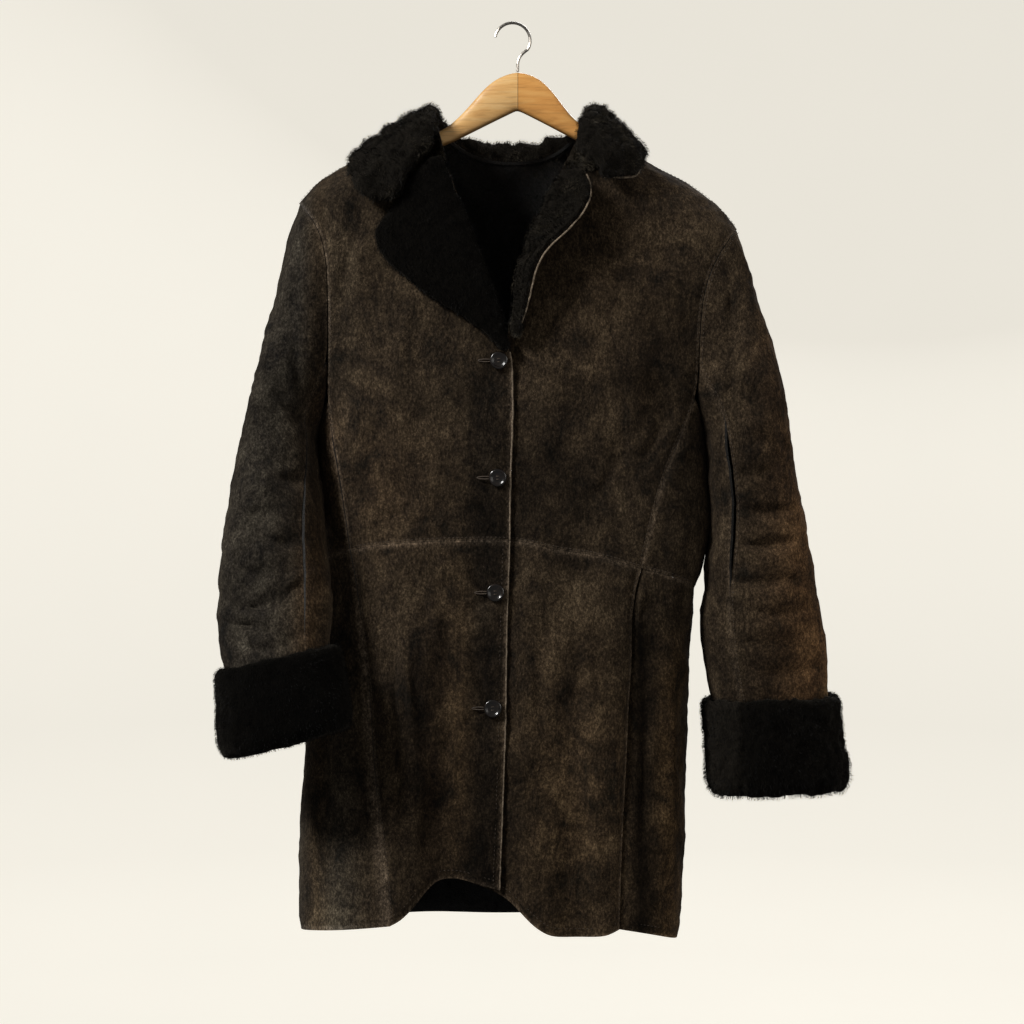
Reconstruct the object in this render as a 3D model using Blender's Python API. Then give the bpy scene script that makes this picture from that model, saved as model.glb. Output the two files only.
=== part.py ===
"""Suede shearling coat with fur collar, turned-back fronts and fur cuffs, hanging on a wooden hanger.

Metres, +Z up, +X to the viewer's right, +Y away from the viewer. The origin is the inside top of
the hook. Names ending in L are on the viewer's left. The body is a closed ring at each height. A
place on it is an angle round the ring (0 at centre front, 90 degrees at the right side) and a drop,
the length down the cloth from the shoulder line. Sleeves are rings that turn from the armhole to
the wrist.
"""

import math

import bpy
import numpy as np

# Thicknesses and gaps
HIDE_WALL = 0.006  # suede with its clipped wool inside
SLEEVE_WALL = 0.004  # the sleeves past their armhole rims
LAPEL_WALL = 0.010
COLLAR_WALL = 0.010
SEAM_GAP = 0.0003
RESTING_GAP = 0.0006  # what lies on a panel
SHARP_ANGLE = 50.0

# Shoulder, lap and edges
SHOULDER_ROLL = 0.045
LAP_WIDTH = 0.036
LAP_CLEARANCE = 0.006  # past the left front's edge before the right front steps back up
LAP_BLEND = 0.016
LAP_GAP = 0.0010
LAP_START_Z = -0.298
LAP_START_LENGTH = 0.032
LAP_HEM_Z = -0.8920
HEM_AT_LAP_Z = -0.9080
ROLL_BAND = 0.010
UNDERARM_SAG = 0.78  # how far down the armhole's foot is halfway to its lowest place
DIFFERENCE = 1e-5

# Rounds in which a place's height, and a seam's drop, are found
SHOULDER_MIDDLE_Z = -0.15
HEIGHT_ROUNDS = 8
DROP_ROUNDS = 12

# Cells along and across the panels
FRONT_ACROSS = 10
LAP_ACROSS = 2
SIDE_ACROSS = 8
BACK_ACROSS = 12
SHOULDER_ACROSS = 4
BODICE_DOWN = 6
ARMHOLE_DOWN = 8
SKIRT_DOWN = 14
SHOULDER_CROWDING = 1.5  # rows closer together where the cloth turns over the shoulder
LAPEL_ACROSS = 6
LAPEL_DOWN = 12

# Buttons
BUTTON_RADIUS = 0.0092
BUTTON_SIDES = 20
BUTTON_GAP = 0.0009
BUTTON_SECTION = (
    # share of the radius, height
    (0.78, 0.0),
    (0.98, 0.0007),
    (1.0, 0.0020),
    (0.93, 0.0032),
    (0.82, 0.0034),
    (0.70, 0.0026),
    (0.60, 0.0019),
)
BUTTON_X_FROM_EDGE = -0.0125
BUTTON_HEIGHTS = (-0.3625, -0.4820, -0.5991, -0.7165)

# Hanger
HOOK_WIRE_RADIUS = 0.0016
HOOK_BEND_RADIUS = 0.0188
HOOK_BEND_CENTRE = (-0.0012, -0.0172)
HANGER_CREST = (0.0042, -0.0505)
HANGER_ENDS = (-0.203, 0.203)
HANGER_SECTIONS = 28
HANGER_CLEARANCE = 0.0030  # under the cloth at the top of the shoulder
HANGER_COVERED = (0.060, 0.074)  # from the middle, where the cloth starts and where it has covered the top
HANGER_THIN_FROM = (0.09, 0.14)  # from the middle, over which the arm takes its height at the ends
HANGER_TIP = (1.15, 24)  # height and power of the curve that rounds the ends

# Hook: the turn of its bend in degrees, and its stem from the bend down
HOOK_BEND_TURN = (168, -28)
HOOK_BEND_POINTS = 18
HOOK_STEM = ((0.0108, -0.0298), (0.0063, -0.0350), (0.0046, -0.0400))
HOOK_STEPS = 34


class Table:
    """Rows of named columns, read between the rows by a smooth curve through them."""

    def __init__(self, columns, *rows):
        data = np.array(sorted(rows), float)
        self.keys = data[:, 0]
        self.columns = dict(zip(columns.split(), data.T))

    def read(self, column, at):
        return smooth_read(self.keys, self.columns[column], at)


def smooth_read(keys, values, at):
    """Values at the given keys, on a cubic curve through the rows that never swings past them."""
    at = np.clip(at, keys[0], keys[-1])
    steps = np.diff(keys)
    rises = np.diff(values) / steps
    slopes = np.gradient(values, keys)
    limit = 3.0 * np.minimum(np.abs(np.append(rises[0], rises)), np.abs(np.append(rises, rises[-1])))
    slopes = np.clip(slopes, -limit, limit)
    row = np.clip(np.searchsorted(keys, at, side="right") - 1, 0, len(keys) - 2)
    share = (at - keys[row]) / steps[row]
    rise = values[row + 1] - values[row]
    start = slopes[row] * steps[row]
    end = slopes[row + 1] * steps[row]
    bend = (start - rise) * (1 - share) - (end - rise) * share
    return values[row] + rise * share + share * (1 - share) * bend


# The shoulder line, where front and back meet
SHOULDER_LINE = Table(
    "x z",
    (-0.2450, -0.2150),
    (-0.2285, -0.1890),
    (-0.2052, -0.1650),
    (-0.1787, -0.1490),
    (-0.1300, -0.1275),
    (-0.0780, -0.1035),
    (0.0000, -0.0900),
    (0.0740, -0.0985),
    (0.1000, -0.1190),
    (0.1446, -0.1480),
    (0.1976, -0.1756),
    (0.2379, -0.2165),
    (0.2550, -0.2450),
)

# Half-widths and depths of the body's ring, and how square its sides are
BODY = Table(
    "z left right front back squareness",
    (-0.970, 0.226, 0.174, 0.093, 0.074, 3.0),
    (-0.870, 0.227, 0.180, 0.091, 0.072, 2.9),
    (-0.780, 0.222, 0.1830, 0.088, 0.070, 2.8),
    (-0.700, 0.211, 0.1850, 0.086, 0.068, 2.8),
    (-0.620, 0.199, 0.1895, 0.083, 0.066, 2.7),
    (-0.570, 0.196, 0.1965, 0.081, 0.065, 2.7),
    (-0.535, 0.197, 0.2065, 0.080, 0.065, 2.7),
    (-0.470, 0.2025, 0.2010, 0.082, 0.066, 2.6),
    (-0.4250, 0.205, 0.2010, 0.082, 0.066, 2.6),
    (-0.360, 0.214, 0.2150, 0.081, 0.065, 2.6),
    (-0.280, 0.234, 0.2400, 0.078, 0.062, 2.5),
    (-0.190, 0.250, 0.2580, 0.070, 0.056, 2.4),
    (-0.100, 0.250, 0.2600, 0.060, 0.050, 2.4),
)

# The waist seam and the hem round the ring; the front edges have their own ends
WAIST = Table(
    "angle z",
    (-180, -0.573),
    (-120, -0.570),
    (-90, -0.566),
    (-60, -0.560),
    (-41, -0.5515),
    (-27, -0.5475),
    (0, -0.5460),
    (12, -0.5556),
    (25, -0.5628),
    (35, -0.5735),
    (50, -0.5836),
    (68, -0.5957),
    (90, -0.5990),
    (120, -0.590),
    (180, -0.573),
)
HEM_LEFT = Table(
    "angle z",
    (-180, -0.954),
    (-120, -0.957),
    (-90, -0.957),
    (-52, -0.948),
    (-37, -0.943),
    (-30, -0.937),
    (-26, -0.927),
    (-23, -0.910),
    (-19, -0.892),
    (-14, -0.890),
    (-9, -0.895),
    (-3, -0.901),
)
HEM_RIGHT = Table(
    "angle z",
    (-16, -0.889),
    (-9, -0.894),
    (-3, -0.904),
    (2, -0.922),
    (8, -0.940),
    (14, -0.9485),
    (24, -0.950),
    (33, -0.947),
    (37, -0.939),
    (43, -0.947),
    (51, -0.957),
    (63, -0.961),
    (90, -0.964),
    (120, -0.960),
    (180, -0.954),
)

# Hanging folds: a ridge, or a valley where the height is negative, down a line on the ring
FOLD_COLUMNS = "angle_high z_high angle_low z_low width height"
FOLDS = (
    (-33, -0.60, -26, -1.25, 5.0, 0.013),
    (-19, -0.66, -18, -1.22, 6.0, -0.008),
    (-52, -0.60, -50, -1.25, 9.0, 0.007),
    (29, -0.56, 31, -1.28, 6.0, 0.010),
    (39, -0.54, 38, -1.24, 5.5, -0.011),
    (53, -0.58, 53, -1.28, 8.0, 0.009),
    (8, -0.62, 12, -1.26, 6.0, 0.007),
    (18, -0.60, 20, -1.20, 5.0, -0.005),
    (118, -0.60, 120, -1.26, 9.0, 0.010),
    (140, -0.58, 141, -1.26, 7.0, -0.007),
    (160, -0.60, 162, -1.26, 8.0, 0.008),
    (-176, -0.60, -178, -1.26, 8.0, -0.006),
    (-156, -0.60, -157, -1.26, 8.0, 0.009),
    (-136, -0.58, -137, -1.26, 7.0, -0.007),
    (-116, -0.60, -118, -1.26, 9.0, 0.010),
    (48, -0.24, 44, -0.50, 8.0, -0.005),
    (-46, -0.26, -44, -0.50, 8.0, -0.005),
    (145, -0.22, 150, -0.50, 9.0, -0.005),
    (-145, -0.22, -150, -0.50, 9.0, -0.005),
)

# Seams on the fronts and the back, as (x, z), each from its low end up
FRONT_EDGE_SKIRT = ((-0.0149, -0.9008), (-0.0118, -0.82), (-0.0090, -0.7363), (-0.0075, -0.64),
                    (-0.0045, -0.5460))
FRONT_EDGE_BODICE = ((-0.0045, -0.5460), (-0.0037, -0.4772), (-0.0012, -0.4150), (-0.0030, -0.3507))
LAP_EDGE_BODICE = ((-0.0405, -0.5460), (-0.0385, -0.4700), (-0.0350, -0.4000), (-0.0220, -0.3620),
                   (-0.0030, -0.3350))
ROLL_LEFT = ((-0.0030, -0.3507), (-0.0139, -0.3046), (-0.0283, -0.2664), (-0.0427, -0.2269),
             (-0.0602, -0.1852), (-0.0720, -0.1440), (-0.0820, -0.1050))
ROLL_RIGHT = ((-0.0030, -0.3350), (-0.0007, -0.3077), (0.0024, -0.2778), (0.0101, -0.2488), (0.0198, -0.2269),
              (0.0394, -0.1821), (0.0580, -0.1480), (0.0780, -0.1010))
SHAPED_SEAM_LEFT = ((-0.1693, -0.5565), (-0.1715, -0.5406), (-0.1774, -0.5004), (-0.1861, -0.4508),
                    (-0.1950, -0.4020))
SHAPED_SEAM_RIGHT = ((0.1323, -0.5752), (0.1407, -0.5343), (0.1512, -0.4953), (0.1640, -0.4613),
                     (0.1727, -0.4416), (0.1905, -0.4000))
SKIRT_SEAM_LEFT = ((-0.1240, -0.9360), (-0.1288, -0.8790), (-0.1362, -0.8225), (-0.1425, -0.7658),
                   (-0.1468, -0.7090), (-0.1564, -0.6388), (-0.1617, -0.5980), (-0.1693, -0.5565))
SKIRT_SEAM_RIGHT = ((0.1085, -0.9420), (0.1124, -0.8459), (0.1177, -0.7801), (0.1208, -0.7089),
                    (0.1240, -0.6671), (0.1230, -0.6313), (0.1246, -0.6058), (0.1323, -0.5752))
ARMHOLE_FRONT_LEFT = ((-0.1950, -0.4020), (-0.1932, -0.3450), (-0.1935, -0.2983), (-0.1937, -0.2671),
                      (-0.1955, -0.2411), (-0.2030, -0.2230), (-0.2150, -0.2050), (-0.2285, -0.1890))
ARMHOLE_FRONT_RIGHT = ((0.1905, -0.4000), (0.1935, -0.3535), (0.1945, -0.3279), (0.1960, -0.3044),
                       (0.2005, -0.2804), (0.2090, -0.2580), (0.2220, -0.2370), (0.2379, -0.2165))
ARMHOLE_BACK_LEFT = ((-0.1940, -0.3980), (-0.1910, -0.3400), (-0.1925, -0.2800), (-0.2010, -0.2350),
                     (-0.2150, -0.2050), (-0.2285, -0.1890))
ARMHOLE_BACK_RIGHT = ((0.1880, -0.4000), (0.1890, -0.3500), (0.1935, -0.3000), (0.2050, -0.2580),
                      (0.2200, -0.2330), (0.2379, -0.2165))
BACK_SEAM_LEFT = ((-0.1560, -0.5720), (-0.1650, -0.5000), (-0.1770, -0.4500), (-0.1940, -0.3980))
BACK_SEAM_RIGHT = ((0.1520, -0.5840), (0.1650, -0.5000), (0.1740, -0.4500), (0.1880, -0.4000))
BACK_SKIRT_SEAM_LEFT = ((-0.1620, -0.9560), (-0.1600, -0.8000), (-0.1520, -0.6800), (-0.1560, -0.5720))
BACK_SKIRT_SEAM_RIGHT = ((0.1300, -0.9590), (0.1350, -0.8000), (0.1420, -0.6800), (0.1520, -0.5840))
BACK_NECK = ((-0.0820, -0.1050), (-0.0600, -0.1250), (-0.0300, -0.1350), (0.0000, -0.1380), (0.0300, -0.1350),
             (0.0600, -0.1240), (0.0780, -0.1010))
LAPEL_LEFT_OUTER = ((-0.0120, -0.3530), (-0.0190, -0.3450), (-0.0425, -0.3241), (-0.0742, -0.3045),
                    (-0.1009, -0.2852), (-0.1205, -0.2680), (-0.1372, -0.2506), (-0.1425, -0.2333),
                    (-0.1332, -0.2170), (-0.1195, -0.2015))
LAPEL_LEFT_ROLL = ((-0.0040, -0.3500), (-0.0139, -0.3046), (-0.0283, -0.2664), (-0.0427, -0.2269),
                   (-0.0602, -0.1852), (-0.0740, -0.1505))
LAPEL_LEFT_GORGE = ((-0.0740, -0.1505), (-0.0860, -0.1545), (-0.1035, -0.1780), (-0.1195, -0.2015))
LAPEL_RIGHT_OUTER = ((0.0060, -0.3400), (0.0085, -0.3195), (0.0146, -0.2902), (0.0198, -0.2685),
                     (0.0290, -0.2540), (0.0485, -0.2363), (0.0660, -0.2164), (0.0743, -0.1997),
                     (0.0743, -0.1851), (0.0662, -0.1700))
LAPEL_RIGHT_ROLL = ((-0.0025, -0.3350), (-0.0007, -0.3077), (0.0024, -0.2778), (0.0101, -0.2488),
                    (0.0198, -0.2269), (0.0394, -0.1821), (0.0500, -0.1640))
LAPEL_RIGHT_GORGE = ((0.0500, -0.1640), (0.0560, -0.1660), (0.0662, -0.1700))
LAPEL_RIGHT_LIFT = 0.032
LAPEL_LIFT_POWER = 1.4  # how the lift grows from the roll line to the edge
LAPEL_LIFT_REACH = (0.08, 0.80)  # how far along the lift is, low end and high end, as shares of a half wave
LAPEL_EDGE_SHARE = 0.65  # thickness at the edges, as a share of the middle's

# The collar's middle line from neck seam over its fold to its edge, at stations round the neck
COLLAR = Table(
    "station base_x base_y base_z top_x top_y top_z edge_x edge_y edge_z",
    (0.0, -0.0830, -0.0700, -0.1370, -0.1040, -0.0790, -0.1620, -0.1225, -0.0800, -0.1990),
    (0.12, -0.0820, -0.0420, -0.1150, -0.1080, -0.0590, -0.1250, -0.1570, -0.0800, -0.1930),
    (0.25, -0.0820, 0.0000, -0.1000, -0.1030, -0.0020, -0.1000, -0.1700, -0.0200, -0.1480),
    (0.31, -0.0770, 0.0360, -0.1080, -0.0960, 0.0340, -0.1010, -0.1560, 0.0300, -0.1460),
    (0.37, -0.0640, 0.0545, -0.1230, -0.0800, 0.0640, -0.1080, -0.1300, 0.0760, -0.1500),
    (0.50, 0.0000, 0.0610, -0.1440, 0.0000, 0.0770, -0.1200, 0.0000, 0.0960, -0.1640),
    (0.63, 0.0560, 0.0545, -0.1230, 0.0720, 0.0660, -0.1080, 0.1080, 0.0760, -0.1500),
    (0.69, 0.0700, 0.0400, -0.1080, 0.0900, 0.0400, -0.0990, 0.1280, 0.0300, -0.1460),
    (0.76, 0.0770, 0.0000, -0.0970, 0.0960, -0.0020, -0.0990, 0.1360, -0.0200, -0.1430),
    (0.88, 0.0700, -0.0450, -0.1180, 0.0950, -0.0640, -0.1280, 0.1260, -0.0780, -0.1720),
    (1.0, 0.0640, -0.0720, -0.1450, 0.0790, -0.0810, -0.1560, 0.0930, -0.0820, -0.1760),
)
COLLAR_STATIONS = 30
COLLAR_ACROSS = 10

# Sleeves: the outer and inner lines of each ring, its middle and half-depth front to back
SLEEVE_LEFT = Table(
    "along outer_x outer_z inner_x inner_z middle_y depth",
    (0.00, -0.2285, -0.1890, -0.2050, -0.4245, 0.000, 0.058),
    (0.10, -0.2411, -0.2300, -0.2105, -0.4430, -0.004, 0.058),
    (0.22, -0.2532, -0.2950, -0.2080, -0.4680, -0.011, 0.057),
    (0.36, -0.2659, -0.3620, -0.2035, -0.5000, -0.031, 0.054),
    (0.50, -0.2814, -0.4430, -0.1990, -0.5380, -0.058, 0.050),
    (0.64, -0.2938, -0.5200, -0.1920, -0.5750, -0.075, 0.046),
    (0.78, -0.3002, -0.6060, -0.1870, -0.6180, -0.092, 0.043),
    (0.84, -0.3002, -0.6460, -0.1860, -0.6370, -0.100, 0.042),
    (0.89, -0.2885, -0.6780, -0.1860, -0.6530, -0.107, 0.039),
    (1.04, -0.2800, -0.7840, -0.1690, -0.7570, -0.127, 0.035),
)
SLEEVE_RIGHT = Table(
    "along outer_x outer_z inner_x inner_z middle_y depth",
    (0.00, 0.2379, -0.2165, 0.2010, -0.4260, 0.000, 0.058),
    (0.10, 0.2495, -0.2515, 0.2070, -0.4460, 0.000, 0.058),
    (0.22, 0.2620, -0.2980, 0.2095, -0.4700, -0.002, 0.057),
    (0.36, 0.2780, -0.3580, 0.2120, -0.5050, -0.006, 0.055),
    (0.50, 0.2890, -0.4250, 0.2135, -0.5450, -0.008, 0.052),
    (0.64, 0.3020, -0.4970, 0.2055, -0.5900, -0.010, 0.050),
    (0.78, 0.3190, -0.6000, 0.1965, -0.6300, -0.012, 0.048),
    (0.86, 0.3330, -0.6900, 0.2020, -0.6950, -0.014, 0.045),
    (0.90, 0.3300, -0.7220, 0.2120, -0.7220, -0.015, 0.042),
    (1.04, 0.3440, -0.8310, 0.2180, -0.8390, -0.019, 0.038),
)
SLEEVE_SQUARENESS = 2.4
SLEEVE_RINGS = 17
CAP_BLEND_TOP = 0.42
CAP_BLEND_UNDER = 0.12
UNDER_SLEEVE_FRONT = 118.0
UNDER_SLEEVE_BACK = 250.0

# The cuff's section: how far out from the sleeve, and how far along from its top to its bottom
CUFF_TOP = 0.885
CUFF_BOTTOM = 1.005
CUFF_SECTION = (
    # out, along
    (0.0006, 0.05),
    (0.0070, -0.03),
    (0.0125, 0.03),
    (0.0140, 0.20),
    (0.0145, 0.45),
    (0.0150, 0.70),
    (0.0140, 0.90),
    (0.0090, 1.01),
    (0.0010, 1.04),
    (-0.0060, 0.98),
    (-0.0060, 0.76),
    (0.0006, 0.76),
    (0.0006, 0.40),
)
SLEEVE_RINGS_IN_CUFF = (0.05, 0.40, 0.755)  # shares of the cuff's length, where its inner face has its rings
CUFF_SLOPE_STEP = 0.004

HANGER_VISIBLE = Table(
    "x top bottom",
    (-0.2100, -0.2000, -0.2100),
    (-0.1500, -0.1450, -0.1640),
    (-0.0801, -0.1175, -0.1315),
    (-0.0748, -0.1120, -0.1298),
    (-0.0614, -0.1014, -0.1239),
    (-0.0519, -0.0934, -0.1192),
    (-0.0424, -0.0812, -0.1146),
    (-0.0314, -0.0675, -0.1092),
    (-0.0181, -0.0569, -0.1027),
    (0.0012, -0.0507, -0.0933),
    (0.0042, -0.0505, -0.0918),
    (0.0072, -0.0507, -0.0933),
    (0.0280, -0.0569, -0.1038),
    (0.0386, -0.0664, -0.1092),
    (0.0492, -0.0812, -0.1147),
    (0.0587, -0.0950, -0.1196),
    (0.0736, -0.1110, -0.1275),
    (0.1500, -0.1590, -0.1780),
    (0.2100, -0.2000, -0.2150),
)
HANGER_HALF_THICKNESS = 0.0068
HANGER_HEIGHT_AT_ENDS = 0.016
HANGER_SIDES = 12
HANGER_SQUARENESS = 2.4


# ---------------------------------------------------------------- curves and grids


def smoothstep(share):
    share = np.clip(share, 0.0, 1.0)
    return share * share * (3 - 2 * share)


def spaced(points, count, crowding=1.0):
    """Points along a polyline, at even steps or crowded towards its end."""
    points = np.asarray(points, float)
    lengths = np.append(0.0, np.cumsum(np.linalg.norm(np.diff(points, axis=0), axis=1)))
    at = lengths[-1] * (1 - (1 - np.linspace(0.0, 1.0, count + 1)) ** crowding)
    return np.stack([np.interp(at, lengths, column) for column in points.T], axis=1)


def curve(points, count, crowding=1.0):
    """Steps along a smooth curve through a few points."""
    points = np.asarray(points, float)
    lengths = np.append(0.0, np.cumsum(np.linalg.norm(np.diff(points, axis=0), axis=1)))
    at = np.linspace(0.0, lengths[-1], 24 * len(points))
    fine = np.stack([smooth_read(lengths, column, at) for column in points.T], axis=1)
    return spaced(fine, count, crowding)


def chain(*edges):
    """Edges joined end to end, each starting where the last one stops."""
    return np.concatenate([edges[0]] + [edge[1:] for edge in edges[1:]])


def patch(low, high, inner, outer):
    """A grid between four edges: low and high run outward, inner and outer run up."""
    across = np.linspace(0, 1, len(low))[None, :, None]
    up = np.linspace(0, 1, len(inner))[:, None, None]
    between_rows = (1 - up) * low[None] + up * high[None]
    between_columns = (1 - across) * inner[:, None] + across * outer[:, None]
    low_corners = (1 - across) * low[0] + across * low[-1]
    high_corners = (1 - across) * high[0] + across * high[-1]
    return between_rows + between_columns - (1 - up) * low_corners - up * high_corners


def unit(vectors):
    return vectors / np.linalg.norm(vectors, axis=-1, keepdims=True)


# ---------------------------------------------------------------- the body's form


def square_reach(side, ahead, squareness):
    """How far a rounded square reaches in a direction: a circle at squareness 2, squarer above it."""
    return (np.abs(side) ** squareness + np.abs(ahead) ** squareness) ** (-1 / squareness)


def wrapped(degrees):
    return (degrees + 180.0) % 360.0 - 180.0


def ring(angle, z):
    """X and Y on the body's ring at a height, and the direction that faces out of it."""
    squareness = BODY.read("squareness", z)
    side = np.sin(angle)
    ahead = np.cos(angle)
    reach = square_reach(side, ahead, squareness)
    half_width = np.where(side < 0, BODY.read("left", z), BODY.read("right", z))
    depth = np.where(ahead < 0, BODY.read("back", z), BODY.read("front", z))
    x = half_width * reach * side
    y = -depth * reach * ahead
    facing_x = np.sign(side) * np.abs(reach * side) ** (squareness - 1) / half_width
    facing_y = -np.sign(ahead) * np.abs(reach * ahead) ** (squareness - 1) / depth
    size = np.hypot(facing_x, facing_y)
    return x, y, facing_x / size, facing_y / size


def fold_height(angle, z):
    """How far the folds move the cloth out at a place on the ring."""
    degrees = wrapped(np.degrees(angle))
    total = np.zeros_like(degrees + z)
    for fold in FOLDS:
        row = dict(zip(FOLD_COLUMNS.split(), fold))
        share = np.clip((z - row["z_high"]) / (row["z_low"] - row["z_high"]), 0.0, 1.0)
        line = row["angle_high"] + share * (row["angle_low"] - row["angle_high"])
        away = wrapped(degrees - line) / row["width"]
        total = total + row["height"] * 4 * share * (1 - share) * np.exp(-away * away)
    return total


def front_edge_x(z):
    """X of the left front's edge, which laps over the right front."""
    points = np.array(FRONT_EDGE_SKIRT + FRONT_EDGE_BODICE[1:])
    return np.interp(z, points[:, 1], points[:, 0])


def body_surface(angle, drop, under_lap=False):
    """Points on the cloth's outer face. The right front steps in where the left one laps over it."""
    turn = np.clip(drop / SHOULDER_ROLL, 0.0, math.pi / 2)
    below = SHOULDER_ROLL * (1 - np.cos(turn)) + np.maximum(drop - SHOULDER_ROLL * math.pi / 2, 0.0)
    depth_share = np.sin(turn)
    z = SHOULDER_MIDDLE_Z - below
    for _ in range(HEIGHT_ROUNDS):
        x, y, facing_x, facing_y = ring(angle, z)
        z = SHOULDER_LINE.read("z", x) - below
    out = fold_height(angle, z) * depth_share
    if under_lap:
        step = smoothstep((front_edge_x(z) + LAP_CLEARANCE + LAP_BLEND - x) / LAP_BLEND)
        started = smoothstep((LAP_START_Z - z) / LAP_START_LENGTH)
        out = out - step * started * (HIDE_WALL + LAP_GAP)
    return np.stack([x + out * facing_x, y * depth_share + out * facing_y, z], axis=-1)


def body_facing(angle, drop, under_lap=False):
    """Unit vectors out of the cloth."""
    drop = np.maximum(drop, DIFFERENCE)
    before = body_surface(angle - DIFFERENCE, drop, under_lap)
    after = body_surface(angle + DIFFERENCE, drop, under_lap)
    above = body_surface(angle, drop - DIFFERENCE, under_lap)
    below = body_surface(angle, drop + DIFFERENCE, under_lap)
    return unit(np.cross(below - above, after - before))


def place_on(x, z, back=False):
    """Angle and drop of a point on the front, or on the back, from where it is seen."""
    half_width = np.where(x < 0, BODY.read("left", z), BODY.read("right", z))
    squareness = BODY.read("squareness", z)
    share = np.minimum(np.abs(x) / half_width, 0.9999)
    angle = np.arctan2(share, (1 - share**squareness) ** (1 / squareness)) * np.sign(x)
    if back:
        angle = math.pi - angle
    below = np.maximum(SHOULDER_LINE.read("z", x) - z, 0.0)
    turn = np.arccos(np.clip(1 - below / SHOULDER_ROLL, 0.0, 1.0))
    drop = SHOULDER_ROLL * turn + np.maximum(below - SHOULDER_ROLL, 0.0)
    return np.stack([angle, drop], axis=-1)


def seam(points, count, back=False, crowding=1.0):
    """A seam as places on the ring, from its points as seen from the front or the back."""
    line = curve(points, count, crowding)
    return place_on(line[:, 0], line[:, 1], back)


def round_seam(table, start, stop, count):
    """A seam round the ring at the height that a table gives for each angle."""
    angle = np.linspace(start, stop, count + 1)
    z = table.read("z", wrapped(np.degrees(angle)))
    drop = np.zeros(count + 1)
    for _ in range(DROP_ROUNDS):
        drop = drop + body_surface(angle, drop)[:, 2] - z
    return np.stack([angle, drop], axis=-1)


def with_ends(edge, first, last):
    """An edge whose two ends are moved exactly onto given places, its middle following."""
    share = np.linspace(0, 1, len(edge))[:, None]
    return edge + (1 - share) * (first - edge[0]) + share * (last - edge[-1])


# ---------------------------------------------------------------- solids


def material(name, colour, roughness, metallic=0.0):
    made = bpy.data.materials.new(name)
    made.use_nodes = True
    shader = made.node_tree.nodes["Principled BSDF"]
    shader.inputs["Base Color"].default_value = (*colour, 1.0)
    shader.inputs["Roughness"].default_value = roughness
    shader.inputs["Metallic"].default_value = metallic
    made.diffuse_color = (*colour, 1.0)
    return made


def add_solid(name, points, faces, finish):
    mesh = bpy.data.meshes.new(name)
    mesh.from_pydata([tuple(point) for point in points], [], faces)
    mesh.validate()
    mesh.materials.append(finish)
    mesh.shade_smooth()
    mesh.set_sharp_from_angle(angle=math.radians(SHARP_ANGLE))
    made = bpy.data.objects.new(name, mesh)
    bpy.context.scene.collection.objects.link(made)
    return made


def ease_edges(grid):
    """Moves a grid's edges in by half a seam gap."""
    eased = grid.copy()
    half = SEAM_GAP / 2
    eased[0] += half * unit(grid[1] - grid[0])
    eased[-1] += half * unit(grid[-2] - grid[-1])
    eased[:, 0] += half * unit(grid[:, 1] - grid[:, 0])
    eased[:, -1] += half * unit(grid[:, -2] - grid[:, -1])
    return eased


# Both walls at a seam split their rims along the same diagonals, in the order of this direction
RIM_ORDER = np.array([0.31, 0.17, 1.0])


def wall(name, outer, inner, finish):
    """A closed wall between two grids of points."""
    rows, columns = outer.shape[:2]
    layer = rows * columns
    points = np.concatenate([outer.reshape(-1, 3), inner.reshape(-1, 3)])
    number = np.arange(layer).reshape(rows, columns)
    faces = []
    for row in range(rows - 1):
        for column in range(columns - 1):
            a, b = number[row, column], number[row, column + 1]
            c, d = number[row + 1, column + 1], number[row + 1, column]
            faces.append((a, b, c, d))
            faces.append((d + layer, c + layer, b + layer, a + layer))
    border = [*number[0], *number[1:, -1], *number[-1, -2::-1], *number[-2:0:-1, 0]]
    for here, ahead in zip(border, border[1:] + border[:1]):
        if points[here] @ RIM_ORDER < points[ahead] @ RIM_ORDER:
            faces += [(ahead, here, here + layer), (ahead, here + layer, ahead + layer)]
        else:
            faces += [(ahead, here, ahead + layer), (here, here + layer, ahead + layer)]
    faces = [tuple(int(corner) for corner in face) for face in faces]
    return add_solid(name, points, turned_out(points, faces), finish)


def turned_out(points, faces):
    """Faces with their corners in the order that makes the solid's volume positive."""
    volume = 0.0
    for face in faces:
        for second, third in zip(face[1:], face[2:]):
            volume += np.dot(points[face[0]], np.cross(points[second], points[third]))
    return faces if volume > 0 else [tuple(reversed(face)) for face in faces]


def loft(name, loops, finish, closed=False):
    """A solid through closed loops of points, capped at its ends, or joined end to end."""
    count, sides = loops.shape[:2]
    points = loops.reshape(-1, 3)
    faces = []
    for this in range(count if closed else count - 1):
        for side in range(sides):
            ahead = (side + 1) % sides
            here, there = this * sides, (this + 1) % count * sides
            faces.append((here + side, here + ahead, there + ahead, there + side))
    if not closed:
        faces.append(tuple(reversed(range(sides))))
        faces.append(tuple(range((count - 1) * sides, count * sides)))
    return add_solid(name, points, turned_out(points, faces), finish)


def panel(name, places, finish, under_lap=False, rim_facing=()):
    """A body panel from its grid of places. The rim at an armhole takes its directions from the seam."""
    angle, drop = places[..., 0], places[..., 1]
    outer = body_surface(angle, drop, under_lap)
    facing = body_facing(angle, drop, under_lap)
    for index, directions in rim_facing:
        facing[index] = directions
    inner = outer - HIDE_WALL * facing
    return wall(name, ease_edges(outer), ease_edges(inner), finish)


# ---------------------------------------------------------------- seams of the body


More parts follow.
